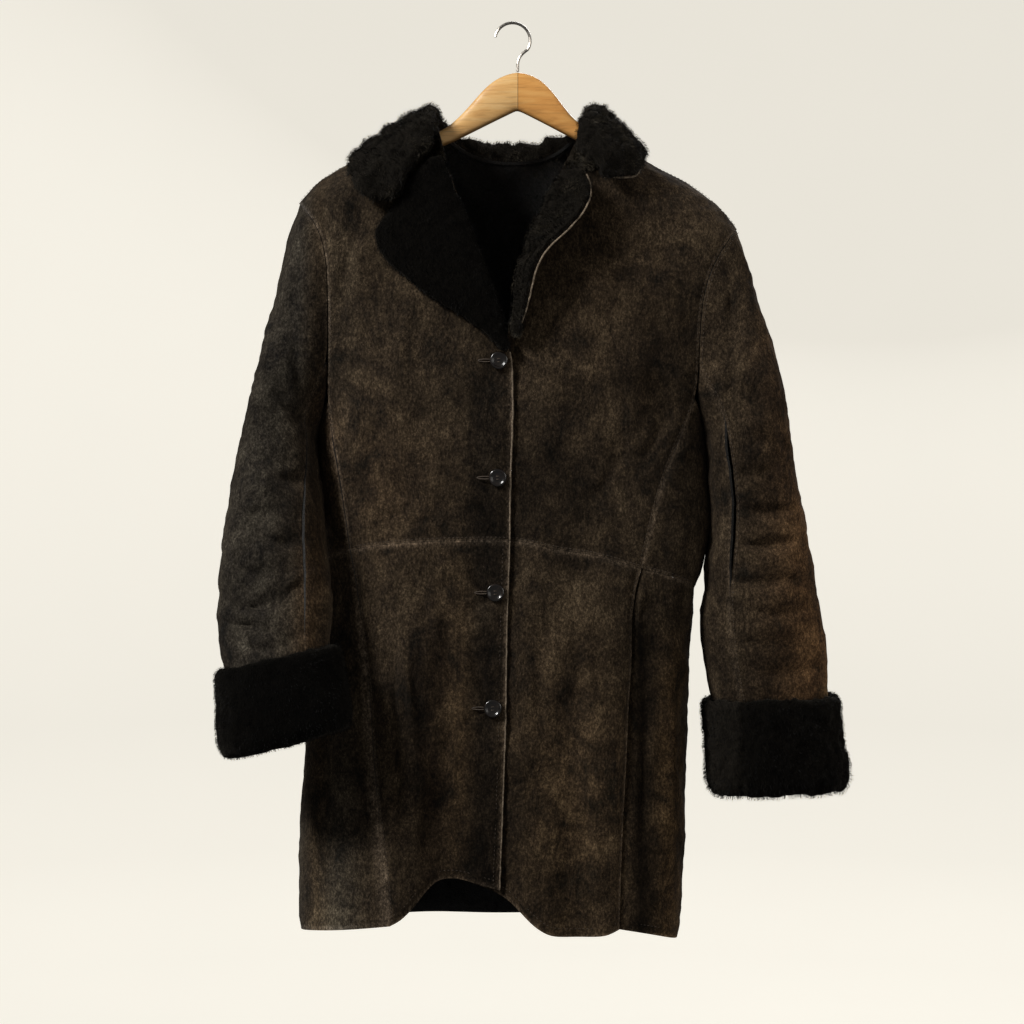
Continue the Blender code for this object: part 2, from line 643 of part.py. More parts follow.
def underarm(side_sign, start, stop, count):
    """The foot of the armhole, from the front seam under the arm to the back seam."""
    table = SLEEVE_LEFT if side_sign < 0 else SLEEVE_RIGHT
    bottom_z = table.columns["inner_z"][0]
    angle = side_sign * math.pi / 2
    lowest = round_seam(Table("angle z", (-180, bottom_z), (180, bottom_z)), angle, angle, 1)[0]
    if side_sign < 0:
        stop = stop - np.array([2 * math.pi, 0.0])
    sag = UNDERARM_SAG
    first = np.stack([start, [(start[0] + angle) / 2, start[1] * (1 - sag) + lowest[1] * sag], lowest])
    second = np.stack([lowest, [(stop[0] + angle) / 2, stop[1] * (1 - sag) + lowest[1] * sag], stop])
    return chain(curve(first, count // 2), curve(second, count // 2))


def body_seams():
    """Every seam of the body by name, as rows of (angle, drop)."""
    seams = {}
    seams["shaped_L"] = seam(SHAPED_SEAM_LEFT, BODICE_DOWN)
    seams["shaped_R"] = seam(SHAPED_SEAM_RIGHT, BODICE_DOWN)
    seams["back_L"] = seam(BACK_SEAM_LEFT, BODICE_DOWN, back=True)
    seams["back_R"] = seam(BACK_SEAM_RIGHT, BODICE_DOWN, back=True)
    seams["armhole_front_L"] = seam(ARMHOLE_FRONT_LEFT, ARMHOLE_DOWN, crowding=SHOULDER_CROWDING)
    seams["armhole_front_R"] = seam(ARMHOLE_FRONT_RIGHT, ARMHOLE_DOWN, crowding=SHOULDER_CROWDING)
    seams["armhole_back_L"] = seam(ARMHOLE_BACK_LEFT, ARMHOLE_DOWN, True, SHOULDER_CROWDING)
    seams["armhole_back_R"] = seam(ARMHOLE_BACK_RIGHT, ARMHOLE_DOWN, True, SHOULDER_CROWDING)
    seams["underarm_L"] = underarm(-1, seams["armhole_front_L"][0], seams["armhole_back_L"][0], SIDE_ACROSS)
    seams["underarm_R"] = underarm(1, seams["armhole_front_R"][0], seams["armhole_back_R"][0], SIDE_ACROSS)
    seams["skirt_L"] = seam(SKIRT_SEAM_LEFT, SKIRT_DOWN)
    seams["skirt_R"] = seam(SKIRT_SEAM_RIGHT, SKIRT_DOWN)
    seams["back_skirt_L"] = seam(BACK_SKIRT_SEAM_LEFT, SKIRT_DOWN, back=True)
    seams["back_skirt_R"] = seam(BACK_SKIRT_SEAM_RIGHT, SKIRT_DOWN, back=True)
    return seams


def between(table, start, stop, count):
    """A waist or hem seam from one seam's end to another's."""
    return with_ends(round_seam(table, start[0], stop[0], count), start, stop)


def full_turn(places):
    return places - np.array([2 * math.pi, 0.0])


def shifted(points, across):
    return [(x + across, z) for x, z in points]


def lapped_patch(low, high, hidden, lap_line, outer):
    """A right front's grid: the strip under the lap, then the rest of the panel."""
    strip_low = np.linspace(hidden[0], lap_line[0], LAP_ACROSS + 1)
    strip_high = np.linspace(hidden[-1], lap_line[-1], LAP_ACROSS + 1)
    strip = patch(strip_low, strip_high, hidden, lap_line)
    low = with_ends(low, lap_line[0], outer[0])
    high = with_ends(high, lap_line[-1], outer[-1])
    rest = patch(low, high, lap_line, outer)
    return np.concatenate([strip, rest[:, 1:]], axis=1)


def make_left_front(seams, suede):
    roll = seam(ROLL_LEFT, ARMHOLE_DOWN, crowding=SHOULDER_CROWDING)
    edge = chain(seam(FRONT_EDGE_BODICE, BODICE_DOWN), roll)
    outer = chain(seams["shaped_L"], seams["armhole_front_L"])
    waist = between(WAIST, edge[0], outer[0], FRONT_ACROSS)
    shoulder = np.linspace(edge[-1], outer[-1], FRONT_ACROSS + 1)
    rim = [((slice(BODICE_DOWN, None), -1), seams["facing_front_L"])]
    panel("front_upper_L", patch(waist, shoulder, edge, outer), suede, rim_facing=rim)
    edge = with_ends(seam(FRONT_EDGE_SKIRT, SKIRT_DOWN), place_on(*np.array(FRONT_EDGE_SKIRT[0])), waist[0])
    outer = with_ends(seams["skirt_L"], seams["skirt_L"][0], waist[-1])
    hem = between(HEM_LEFT, edge[0], outer[0], FRONT_ACROSS)
    panel("front_skirt_L", patch(hem, waist, edge, outer), suede)


def make_right_front(seams, suede):
    across = FRONT_ACROSS - LAP_ACROSS
    roll = seam(ROLL_RIGHT, ARMHOLE_DOWN, crowding=SHOULDER_CROWDING)
    hidden = chain(seam(LAP_EDGE_BODICE, BODICE_DOWN), roll)
    past_edge = shifted(FRONT_EDGE_BODICE, LAP_CLEARANCE)
    beside_roll = (past_edge[-1], *shifted(ROLL_RIGHT[1:], ROLL_BAND))
    lap_line = chain(
        seam(past_edge, BODICE_DOWN),
        seam(beside_roll, ARMHOLE_DOWN, crowding=SHOULDER_CROWDING),
    )
    outer = chain(seams["shaped_R"], seams["armhole_front_R"])
    waist = between(WAIST, lap_line[0], outer[0], across)
    shoulder = np.linspace(lap_line[-1], outer[-1], across + 1)
    rim = [((slice(BODICE_DOWN, None), -1), seams["facing_front_R"])]
    places = lapped_patch(waist, shoulder, hidden, lap_line, outer)
    panel("front_upper_R", places, suede, True, rim)
    low_edge = (FRONT_EDGE_SKIRT[0][0], LAP_HEM_Z)
    hidden = seam(shifted((low_edge, *FRONT_EDGE_SKIRT[1:]), -LAP_WIDTH), SKIRT_DOWN)
    hidden = with_ends(hidden, hidden[0], places[0, 0])
    lap_line = with_ends(seam(shifted(FRONT_EDGE_SKIRT, LAP_CLEARANCE), SKIRT_DOWN),
                         place_on(low_edge[0] + LAP_CLEARANCE, HEM_AT_LAP_Z), places[0, LAP_ACROSS])
    outer = with_ends(seams["skirt_R"], seams["skirt_R"][0], waist[-1])
    hem = between(HEM_RIGHT, lap_line[0], outer[0], across)
    panel("front_skirt_R", lapped_patch(hem, waist, hidden, lap_line, outer), suede, True)


def make_sides(seams, suede):
    for side, turn, hem in (("L", full_turn, HEM_LEFT), ("R", lambda places: places, HEM_RIGHT)):
        front = seams["shaped_" + side]
        back = turn(seams["back_" + side])
        top = with_ends(seams["underarm_" + side], front[-1], back[-1])
        waist = between(WAIST, front[0], back[0], SIDE_ACROSS)
        rim = [((-1, slice(None)), seams["facing_under_" + side])]
        panel("side_upper_" + side, patch(waist, top, front, back), suede, rim_facing=rim)
        front = with_ends(seams["skirt_" + side], seams["skirt_" + side][0], front[0])
        back = turn(seams["back_skirt_" + side])
        hem_line = between(hem, front[0], back[0], SIDE_ACROSS)
        panel("side_skirt_" + side, patch(hem_line, waist, front, back), suede)


def make_back(seams, suede):
    right = chain(seams["back_R"], seams["armhole_back_R"])
    left = chain(seams["back_L"], seams["armhole_back_L"])
    waist = between(WAIST, right[0], left[0], BACK_ACROSS)
    neck = seam(BACK_NECK[::-1], BACK_ACROSS - 2 * SHOULDER_ACROSS, back=True)
    neck[0, 1] = 0.0
    neck[-1, 1] = 0.0
    top = chain(
        np.linspace(right[-1], neck[0], SHOULDER_ACROSS + 1),
        neck,
        np.linspace(neck[-1], left[-1], SHOULDER_ACROSS + 1),
    )
    rows = slice(BODICE_DOWN, None)
    rim = [((rows, 0), seams["facing_back_R"]), ((rows, -1), seams["facing_back_L"])]
    panel("back_upper", patch(waist, top, right, left), suede, rim_facing=rim)
    right = seams["back_skirt_R"]
    left = seams["back_skirt_L"]
    hem = round_seam(HEM_RIGHT, right[0, 0], math.pi - 1e-6, BACK_ACROSS // 2)
    hem = chain(hem, round_seam(HEM_LEFT, math.pi + 1e-6, left[0, 0], BACK_ACROSS // 2))
    hem = with_ends(hem, right[0], left[0])
    panel("back_skirt", patch(hem, waist, right, left), suede)


# ---------------------------------------------------------------- sleeves and cuffs


def armhole_loop(side, table, seams):
    """The armhole from its top down the front, under the arm and up the back.

    Gives its points, their directions, halfway between the body's and the sleeve's, and the index
    of the lowest one.
    """
    front = seams["armhole_front_" + side][::-1]
    under = seams["underarm_" + side]
    back = seams["armhole_back_" + side]
    if side == "L":
        back = full_turn(back)
    places = chain(front, under, back)[:-1]
    points = body_surface(places[:, 0], places[:, 1])
    lowest = len(front) - 1 + SIDE_ACROSS // 2
    first_rings = np.array([0.0, CUFF_TOP / SLEEVE_RINGS])
    start = sleeve_surface(table, first_rings, loop_angles(points, lowest), points)
    sleeve_facing = grid_facing(start, start.mean(axis=1, keepdims=True))[0]
    facing = unit(body_facing(places[:, 0], places[:, 1]) + sleeve_facing)
    seams["facing_front_" + side] = facing[: len(front)][::-1]
    seams["facing_under_" + side] = facing[len(front) - 1 : len(front) + SIDE_ACROSS]
    seams["facing_back_" + side] = np.concatenate([facing[len(front) - 1 + SIDE_ACROSS :], facing[:1]])
    return points, facing, lowest


def loop_angles(points, lowest):
    """Angles round the sleeve for the points of the armhole: 0 at its top, 180 degrees under the arm."""
    closed = np.concatenate([points, points[:1]])
    lengths = np.append(0.0, np.cumsum(np.linalg.norm(np.diff(closed, axis=0), axis=1)))
    angles = np.where(
        np.arange(len(closed)) <= lowest,
        lengths / lengths[lowest],
        1 + (lengths - lengths[lowest]) / (lengths[-1] - lengths[lowest]),
    )
    return angles[:-1] * math.pi


def sleeve_ring(table, along, angles):
    """A ring of the sleeve: angle 0 on its outer line, 90 degrees at its front."""
    along = np.asarray(along)[..., None]
    outer = np.stack([table.read("outer_x", along), table.read("outer_z", along)], axis=-1)
    inner = np.stack([table.read("inner_x", along), table.read("inner_z", along)], axis=-1)
    across = np.cos(angles)
    ahead = np.sin(angles)
    reach = square_reach(across, ahead, SLEEVE_SQUARENESS)
    place = (outer + inner) / 2 + (outer - inner) / 2 * (reach * across)[..., None]
    y = table.read("middle_y", along) - table.read("depth", along) * reach * ahead
    return np.stack([place[..., 0], y, place[..., 1]], axis=-1)


def sleeve_surface(table, along, angles, loop):
    """The sleeve's outer face, which leaves the armhole's loop and settles into its rings."""
    rings = sleeve_ring(table, along, angles)
    start = sleeve_ring(table, np.zeros(1), angles)[0]
    reach = CAP_BLEND_UNDER + (CAP_BLEND_TOP - CAP_BLEND_UNDER) * (0.5 + 0.5 * np.cos(angles))
    hold = 1 - smoothstep(np.asarray(along)[:, None] / reach)
    return rings + hold[..., None] * (loop - start)


def grid_facing(grid, outward_from):
    """Unit vectors out of a tube of points, closed round its second axis."""
    along = np.gradient(grid, axis=0)
    around = unit(np.roll(grid, -1, axis=1) - grid) + unit(grid - np.roll(grid, 1, axis=1))
    facing = unit(np.cross(along, around))
    sign = np.sign(np.sum(facing * (grid - outward_from), axis=(1, 2), keepdims=True))
    return facing * sign


def make_sleeve(side, table, seams, loop, facing_start, lowest, suede):
    angles = loop_angles(loop, lowest)
    in_cuff = CUFF_TOP + (CUFF_BOTTOM - CUFF_TOP) * np.array(SLEEVE_RINGS_IN_CUFF)
    along = np.append(np.linspace(0, CUFF_TOP, SLEEVE_RINGS + 1)[:-1], in_cuff)
    outer = sleeve_surface(table, along, angles, loop)
    facing = grid_facing(outer, outer.mean(axis=1, keepdims=True))
    facing[0] = facing_start
    thickness = np.where(along > 0, SLEEVE_WALL, HIDE_WALL)[:, None, None]
    inner = outer - thickness * facing
    degrees = np.degrees(angles)
    front = int(np.argmin(np.abs(degrees - UNDER_SLEEVE_FRONT)))
    back = int(np.argmin(np.abs(degrees - UNDER_SLEEVE_BACK)))
    under = np.arange(front, back + 1)
    upper = np.arange(back, front + len(degrees) + 1) % len(degrees)
    for name, columns in (("sleeve_under_", under), ("sleeve_upper_", upper)):
        wall(name + side, ease_edges(outer[:, columns]), ease_edges(inner[:, columns]), suede)


def make_cuff(side, table, loop, lowest, fur):
    angles = loop_angles(loop, lowest)
    out = np.array([row[0] for row in CUFF_SECTION])[:, None, None]
    along = CUFF_TOP + (CUFF_BOTTOM - CUFF_TOP) * np.array([row[1] for row in CUFF_SECTION])
    rings = sleeve_ring(table, along, angles)
    above = sleeve_ring(table, along - CUFF_SLOPE_STEP, angles)
    down = sleeve_ring(table, along + CUFF_SLOPE_STEP, angles) - above
    around = np.roll(rings, -1, axis=1) - np.roll(rings, 1, axis=1)
    facing = unit(np.cross(down, around))
    facing = facing * np.sign(np.sum(facing * (rings - rings.mean(axis=1, keepdims=True))))
    loft("cuff_" + side, rings + facing * out, fur, closed=True)


# ---------------------------------------------------------------- collar, lapels and buttons


def clear_of_body(points, gap):
    """Points moved out, where they need it, until they clear the body's form near the shoulders."""
    x, y, z = points[..., 0], points[..., 1], points[..., 2]
    places = place_on(x, z)
    reach = body_surface(places[..., 0], np.full_like(x, SHOULDER_ROLL * math.pi / 2))
    back_places = np.stack([math.pi - places[..., 0], places[..., 1]], axis=-1)
    reach_back = body_surface(back_places[..., 0], np.full_like(x, SHOULDER_ROLL * math.pi / 2))
    limit = np.where(y < 0, -reach[..., 1], reach_back[..., 1])
    rise = np.maximum(SHOULDER_ROLL - (SHOULDER_LINE.read("z", x) - z), 0.0)
    ratio = np.hypot(y / (limit + gap), rise / (SHOULDER_ROLL + gap))
    grow = np.maximum(1 / np.maximum(ratio, 1e-6), 1.0)
    moved = points.copy()
    moved[..., 1] = y * grow
    moved[..., 2] = z + rise * (grow - 1)
    return moved


def make_collar(fur):
    stations = np.linspace(0, 1, COLLAR_STATIONS + 1)
    columns = {name: COLLAR.read(name, stations) for name in COLLAR.columns}
    base, top, edge = (
        np.stack([columns[part + "_x"], columns[part + "_y"], columns[part + "_z"]], axis=-1)
        for part in ("base", "top", "edge")
    )
    share = np.linspace(0, 1, COLLAR_ACROSS + 1)[None, :, None]
    base, top, edge = base[:, None], top[:, None], edge[:, None]
    bend = 2 * top - (base + edge) / 2
    middle = (1 - share) ** 2 * base + 2 * share * (1 - share) * bend + share**2 * edge
    along = np.gradient(middle, axis=0)
    across = np.gradient(middle, axis=1)
    facing = unit(np.cross(along, across))
    facing = facing * np.where(facing[..., 2:].mean() < 0, -1.0, 1.0)
    edges = np.minimum(share, 1 - share)
    half = COLLAR_WALL / 2 * np.sqrt(np.clip(0.25 + edges * 5, 0.0, 1.0))
    upper = clear_of_body(middle + half * facing, RESTING_GAP * 3 + half[..., 0] * 2)
    lower = clear_of_body(middle - half * facing, RESTING_GAP * 3)
    wall("collar", upper, lower, fur)


def make_lapel(side, outer, roll, gorge, lift, fur):
    outer = curve(outer, LAPEL_DOWN)
    roll = curve(roll, LAPEL_DOWN)
    low = np.linspace(roll[0], outer[0], LAPEL_ACROSS + 1)
    high = curve(gorge, LAPEL_ACROSS)
    grid = patch(low, high, with_ends(roll, roll[0], high[0]), with_ends(outer, outer[0], high[-1]))
    places = place_on(grid[..., 0], grid[..., 1])
    surface = body_surface(places[..., 0], places[..., 1])
    facing = body_facing(places[..., 0], places[..., 1])
    across = np.linspace(0, 1, LAPEL_ACROSS + 1)[None, :, None]
    up = np.linspace(0, 1, LAPEL_DOWN + 1)[:, None, None]
    start, stop = LAPEL_LIFT_REACH
    raised = lift * across**LAPEL_LIFT_POWER * np.sin(math.pi * (start + (stop - start) * up))
    rounding = LAPEL_EDGE_SHARE + (1 - LAPEL_EDGE_SHARE) * (1 - np.abs(2 * across - 1) ** 6)
    inner = surface + facing * (raised + RESTING_GAP)
    outer_face = surface + facing * (raised + RESTING_GAP + LAPEL_WALL * rounding)
    wall("lapel_" + side, outer_face, inner, fur)


def make_buttons(finish):
    turns = np.arange(BUTTON_SIDES) * 2 * math.pi / BUTTON_SIDES
    for number, z in enumerate(BUTTON_HEIGHTS, 1):
        x = front_edge_x(z) + BUTTON_X_FROM_EDGE
        place = place_on(np.array(x), np.array(z))
        centre = body_surface(place[0], place[1])
        facing = body_facing(place[0], place[1])
        right = unit(np.cross(facing, np.array([0.0, 0.0, 1.0])))
        up = np.cross(right, facing)
        points = []
        for radius, height in BUTTON_SECTION:
            for turn in turns:
                around = (right * math.cos(turn) + up * math.sin(turn)) * radius * BUTTON_RADIUS
                points.append(centre + facing * (height + BUTTON_GAP) + around)
        loops = np.array(points).reshape(len(BUTTON_SECTION), BUTTON_SIDES, 3)
        loft(f"button_{number}", loops, finish)


# ---------------------------------------------------------------- the hanger


def make_hanger_wood(wood):
    x = np.sort(np.append(np.linspace(*HANGER_ENDS, HANGER_SECTIONS + 1), HANGER_CREST[0]))
    top = HANGER_VISIBLE.read("top", x)
    bottom = HANGER_VISIBLE.read("bottom", x)
    slope = np.gradient(SHOULDER_LINE.read("z", x), x)
    under_cloth = SHOULDER_LINE.read("z", x) - (HIDE_WALL + HANGER_CLEARANCE) * np.hypot(1, slope)
    covered = smoothstep((np.abs(x) - HANGER_COVERED[0]) / (HANGER_COVERED[1] - HANGER_COVERED[0]))
    top = np.where(covered > 0, top * (1 - covered) + under_cloth * covered, top)
    ends = smoothstep((np.abs(x) - HANGER_THIN_FROM[0]) / (HANGER_THIN_FROM[1] - HANGER_THIN_FROM[0]))
    bottom = bottom * (1 - ends) + (under_cloth - HANGER_HEIGHT_AT_ENDS) * ends
    turns = np.arange(HANGER_SIDES) * 2 * math.pi / HANGER_SIDES
    cosine, sine = np.cos(turns), np.sin(turns)
    reach = square_reach(cosine, sine, HANGER_SQUARENESS)
    height, power = HANGER_TIP
    tip = np.sqrt(np.clip(height - (np.abs(x) / HANGER_ENDS[1]) ** power, 0.0, 1.0))
    y = HANGER_HALF_THICKNESS * tip[:, None] * reach * cosine
    z = ((top + bottom) / 2)[:, None] + ((top - bottom) / 2 * tip)[:, None] * reach * sine
    loops = np.stack([np.repeat(x[:, None], HANGER_SIDES, axis=1), y, z], axis=-1)
    loft("hanger_wood", loops, wood)


def make_hanger_hook(steel):
    angles = np.radians(np.linspace(*HOOK_BEND_TURN, HOOK_BEND_POINTS))
    arc = HOOK_BEND_CENTRE + HOOK_BEND_RADIUS * np.stack([np.cos(angles), np.sin(angles)], axis=1)
    crest_x, crest_z = HANGER_CREST
    route = curve([*arc, *HOOK_STEM, (crest_x, crest_z + SEAM_GAP)], HOOK_STEPS)
    data = bpy.data.curves.new("hanger_hook", "CURVE")
    data.dimensions = "3D"
    data.bevel_depth = HOOK_WIRE_RADIUS
    data.bevel_resolution = 2
    data.use_fill_caps = True
    spline = data.splines.new("POLY")
    spline.points.add(len(route) - 1)
    for point, (x, z) in zip(spline.points, route):
        point.co = (x, 0.0, z, 1.0)
    data.materials.append(steel)
    made = bpy.data.objects.new("hanger_hook", data)
    bpy.context.scene.collection.objects.link(made)


# ---------------------------------------------------------------- the whole coat


def main():
    for old in list(bpy.data.objects):
        bpy.data.objects.remove(old)
    suede = material("brown_suede", (0.035, 0.022, 0.015), 0.95)
    fur = material("black_brown_fur", (0.010, 0.008, 0.006), 0.90)
    horn = material("dark_horn", (0.015, 0.010, 0.008), 0.30)
    wood = material("honey_wood", (0.55, 0.30, 0.10), 0.40)
    steel = material("hook_steel", (0.55, 0.53, 0.50), 0.30, 1.0)
    seams = body_seams()
    sleeve_tables = {"L": SLEEVE_LEFT, "R": SLEEVE_RIGHT}
    loops = {side: armhole_loop(side, table, seams) for side, table in sleeve_tables.items()}
    make_left_front(seams, suede)
    make_right_front(seams, suede)
    make_sides(seams, suede)
    make_back(seams, suede)
    for side, table in sleeve_tables.items():
        make_sleeve(side, table, seams, *loops[side], suede)
        make_cuff(side, table, loops[side][0], loops[side][2], fur)
    make_lapel("L", LAPEL_LEFT_OUTER, LAPEL_LEFT_ROLL, LAPEL_LEFT_GORGE, 0.0, fur)
    make_lapel("R", LAPEL_RIGHT_OUTER, LAPEL_RIGHT_ROLL, LAPEL_RIGHT_GORGE, LAPEL_RIGHT_LIFT, fur)
    make_collar(fur)
    make_buttons(horn)
    make_hanger_wood(wood)
    make_hanger_hook(steel)


main()
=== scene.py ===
"""Looks of a suede shearling coat on a wooden hanger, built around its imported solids.

Metres, in the row frame: +Z up, +X to the viewer's right, +Y away from the viewer, origin at the
inside top of the hook. Names ending in L are on the viewer's left. Each suede panel is a thin shell
on its solid's outer face, with creases, pinched seams and wool inside. Each fur piece is a soft core
under combed hair.
"""

import math

import bmesh
import bpy
import numpy as np
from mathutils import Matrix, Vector
from mathutils.kdtree import KDTree


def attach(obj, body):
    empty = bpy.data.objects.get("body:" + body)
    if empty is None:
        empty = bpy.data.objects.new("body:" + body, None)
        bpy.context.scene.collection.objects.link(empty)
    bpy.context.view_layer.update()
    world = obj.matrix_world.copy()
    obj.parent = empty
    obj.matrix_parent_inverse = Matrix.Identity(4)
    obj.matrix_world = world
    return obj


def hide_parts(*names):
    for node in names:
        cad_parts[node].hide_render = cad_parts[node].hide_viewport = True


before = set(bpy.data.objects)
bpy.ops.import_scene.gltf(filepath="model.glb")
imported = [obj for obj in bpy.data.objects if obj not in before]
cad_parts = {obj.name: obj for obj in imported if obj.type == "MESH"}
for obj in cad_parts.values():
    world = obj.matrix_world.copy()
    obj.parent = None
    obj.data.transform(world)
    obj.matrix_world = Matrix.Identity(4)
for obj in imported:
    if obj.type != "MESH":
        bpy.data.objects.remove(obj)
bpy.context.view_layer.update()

BODY = "root"
SHARP = math.radians(50)
SHELL_THICKNESS = 0.0032
SHELL_SHARP = math.radians(60)
SEAM_PINCH_DEPTH = 0.0015
SEAM_PINCH_WIDTH = 0.0048
SLEEVE_PINCH_SHARE = 0.3
WEAR_WIDTH = 0.0026
SLEEVE_WEAR_SHARE = 0.35
CALM_EDGE = 0.012
CREASE_AT_EDGE = 0.25

# Unevenness of the skin between its edges: height, distance between hills, random seed
RELIEF = (
    (0.00085, 0.055, 1),
    (0.00045, 0.021, 2),
    (0.00022, 0.011, 3),
)

# The suede panels: subdivisions, then width, length and area of the cut that shows
PANELS = {
    "front_upper_L": (3, 0.21, 0.48, 0.082),
    "front_upper_R": (3, 0.24, 0.5, 0.093),
    "side_upper_L": (3, 0.13, 0.18, 0.018),
    "side_upper_R": (3, 0.18, 0.2, 0.027),
    "back_upper": (2, 0.48, 0.51, 0.181),
    "front_skirt_L": (3, 0.17, 0.39, 0.053),
    "front_skirt_R": (3, 0.18, 0.4, 0.067),
    "side_skirt_L": (2, 0.26, 0.4, 0.083),
    "side_skirt_R": (3, 0.21, 0.39, 0.074),
    "back_skirt": (2, 0.31, 0.39, 0.118),
    "sleeve_upper_L": (3, 0.21, 0.6, 0.101),
    "sleeve_under_L": (2, 0.12, 0.42, 0.037),
    "sleeve_upper_R": (3, 0.23, 0.58, 0.109),
    "sleeve_under_R": (2, 0.134, 0.45, 0.048),
}

# Where a panel's outside is judged from: the middle line of the body or of a sleeve
BODY_AXIS = ((0.0, 0.0, -0.1), (0.0, 0.0, -1.0))
SLEEVE_AXIS = {
    "L": ((-0.215, 0.0, -0.3), (-0.232, -0.014, -0.4), (-0.245, -0.058, -0.49), (-0.24, -0.095, -0.62),
          (-0.225, -0.122, -0.75)),
    "R": ((0.218, 0.0, -0.32), (0.245, -0.005, -0.43), (0.252, -0.009, -0.54), (0.262, -0.013, -0.66),
          (0.278, -0.018, -0.8)),
}


# ---------------- small helpers


def unit(vectors):
    return vectors / np.maximum(np.linalg.norm(vectors, axis=-1, keepdims=True), 1e-12)


def smoothstep(low, high, value):
    share = np.clip((value - low) / (high - low), 0.0, 1.0)
    return share * share * (3 - 2 * share)


def waves(points, size, seed, count=14):
    """A smooth uneven field from about -1 to 1, whose hills are about size apart."""
    random = np.random.default_rng(seed)
    turns = unit(random.normal(size=(count, 3))) * (2 * math.pi / size) * random.uniform(0.6, 1.5, (count, 1))
    phases = random.uniform(0, 2 * math.pi, count)
    return np.sin(points @ turns.T + phases).sum(axis=1) / math.sqrt(count)


def add_mesh(name, points, faces, materials, face_materials=None):
    mesh = bpy.data.meshes.new(name)
    mesh.from_pydata([tuple(point) for point in points], [], faces)
    for material in materials:
        mesh.materials.append(material)
    if face_materials is not None:
        mesh.polygons.foreach_set("material_index", face_materials)
    mesh.polygons.foreach_set("use_smooth", [True] * len(mesh.polygons))
    mesh.update()
    made = bpy.data.objects.new(name, mesh)
    bpy.context.scene.collection.objects.link(made)
    return made


def set_attribute(obj, name, values, kind="FLOAT"):
    layer = obj.data.attributes.new(name, kind, "POINT")
    key = "value" if kind == "FLOAT" else "color"
    layer.data.foreach_set(key, np.asarray(values, np.float32).ravel())


def place(obj, node):
    """The piece rides with the coat and stands for its solid, which is hidden."""
    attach(obj, BODY)
    if node:
        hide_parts(node)


def evaluated_copy(obj):
    """(points, faces, normals) of an object with its modifiers, which is then removed."""
    graph = bpy.context.evaluated_depsgraph_get()
    mesh = bpy.data.meshes.new_from_object(obj.evaluated_get(graph), depsgraph=graph)
    points = np.zeros(len(mesh.vertices) * 3)
    mesh.vertices.foreach_get("co", points)
    normals = np.zeros(len(mesh.vertices) * 3)
    mesh.vertex_normals.foreach_get("vector", normals)
    faces = [tuple(polygon.vertices) for polygon in mesh.polygons]
    bpy.data.meshes.remove(mesh)
    bpy.data.objects.remove(obj)
    return points.reshape(-1, 3), faces, normals.reshape(-1, 3)


def temporary(bm):
    mesh = bpy.data.meshes.new("temporary")
    bm.to_mesh(mesh)
    bm.free()
    made = bpy.data.objects.new("temporary", mesh)
    bpy.context.scene.collection.objects.link(made)
    return made


def welded(node):
    bm = bmesh.new()
    bm.from_mesh(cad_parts[node].data)
    bmesh.ops.remove_doubles(bm, verts=bm.verts, dist=1e-5)
    bmesh.ops.recalc_face_normals(bm, faces=bm.faces)
    bm.faces.ensure_lookup_table()
    return bm


# ---------------- materials


class Shading:
    """A material's node tree, with short calls that add nodes and join them."""

    def __init__(self, name, roughness, **sockets):
        self.material = bpy.data.materials.new(name)
        self.material.use_nodes = True
        self.tree = self.material.node_tree
        self.shader = self.tree.nodes["Principled BSDF"]
        self.shader.inputs["Roughness"].default_value = roughness
        for socket, value in sockets.items():
            self.shader.inputs[socket.replace("_", " ")].default_value = value
        self.where = self.tree.nodes.new("ShaderNodeTexCoord").outputs["Object"]

    def node(self, kind, inputs=(), **settings):
        made = self.tree.nodes.new("ShaderNode" + kind)
        for key, value in settings.items():
            setattr(made, key, value)
        for socket, value in dict(inputs).items():
            self.put(made.inputs[socket], value)
        return made

    def put(self, socket, value):
        if isinstance(value, bpy.types.NodeSocket):
            self.tree.links.new(value, socket)
        else:
            socket.default_value = value

    def noise(self, scale, detail=3.0, roughness=0.55, stretch=None, distortion=0.0):
        vector = self.where
        if stretch:
            vector = self.node("Mapping", {"Vector": vector, "Scale": stretch}).outputs["Vector"]
        inputs = {"Vector": vector, "Scale": scale, "Detail": detail, "Roughness": roughness}
        inputs["Distortion"] = distortion
        return self.node("TexNoise", inputs).outputs["Fac"]

    def ramp(self, value, *stops):
        made = self.node("ValToRGB", {"Fac": value})
        ramp = made.color_ramp
        while len(ramp.elements) < len(stops):
            ramp.elements.new(0.5)
        for element, (place_on_ramp, colour) in zip(ramp.elements, stops):
            element.position = place_on_ramp
            element.color = (*colour, 1.0) if hasattr(colour, "__len__") else (colour, colour, colour, 1.0)
        return made.outputs["Color"]

    def mix(self, share, first, second, blend="MIX"):
        made = self.node("Mix", data_type="RGBA", blend_type=blend)
        self.put(made.inputs["Factor"], share)
        self.put(made.inputs[6], first)
        self.put(made.inputs[7], second)
        return made.outputs[2]

    def math(self, operation, first, second=0.0):
        return self.node("Math", {0: first, 1: second}, operation=operation).outputs[0]

    def attribute(self, name, output="Fac"):
        return self.node("Attribute", attribute_name=name).outputs[output]

    def bump(self, height, distance, strength=1.0):
        inputs = {"Height": height, "Distance": distance, "Strength": strength}
        return self.node("Bump", inputs).outputs["Normal"]

    def finish(self, colour=None, normal=None, roughness=None):
        for socket, value in (("Base Color", colour), ("Normal", normal), ("Roughness", roughness)):
            if value is not None:
                self.put(self.shader.inputs[socket], value)
        return self.material


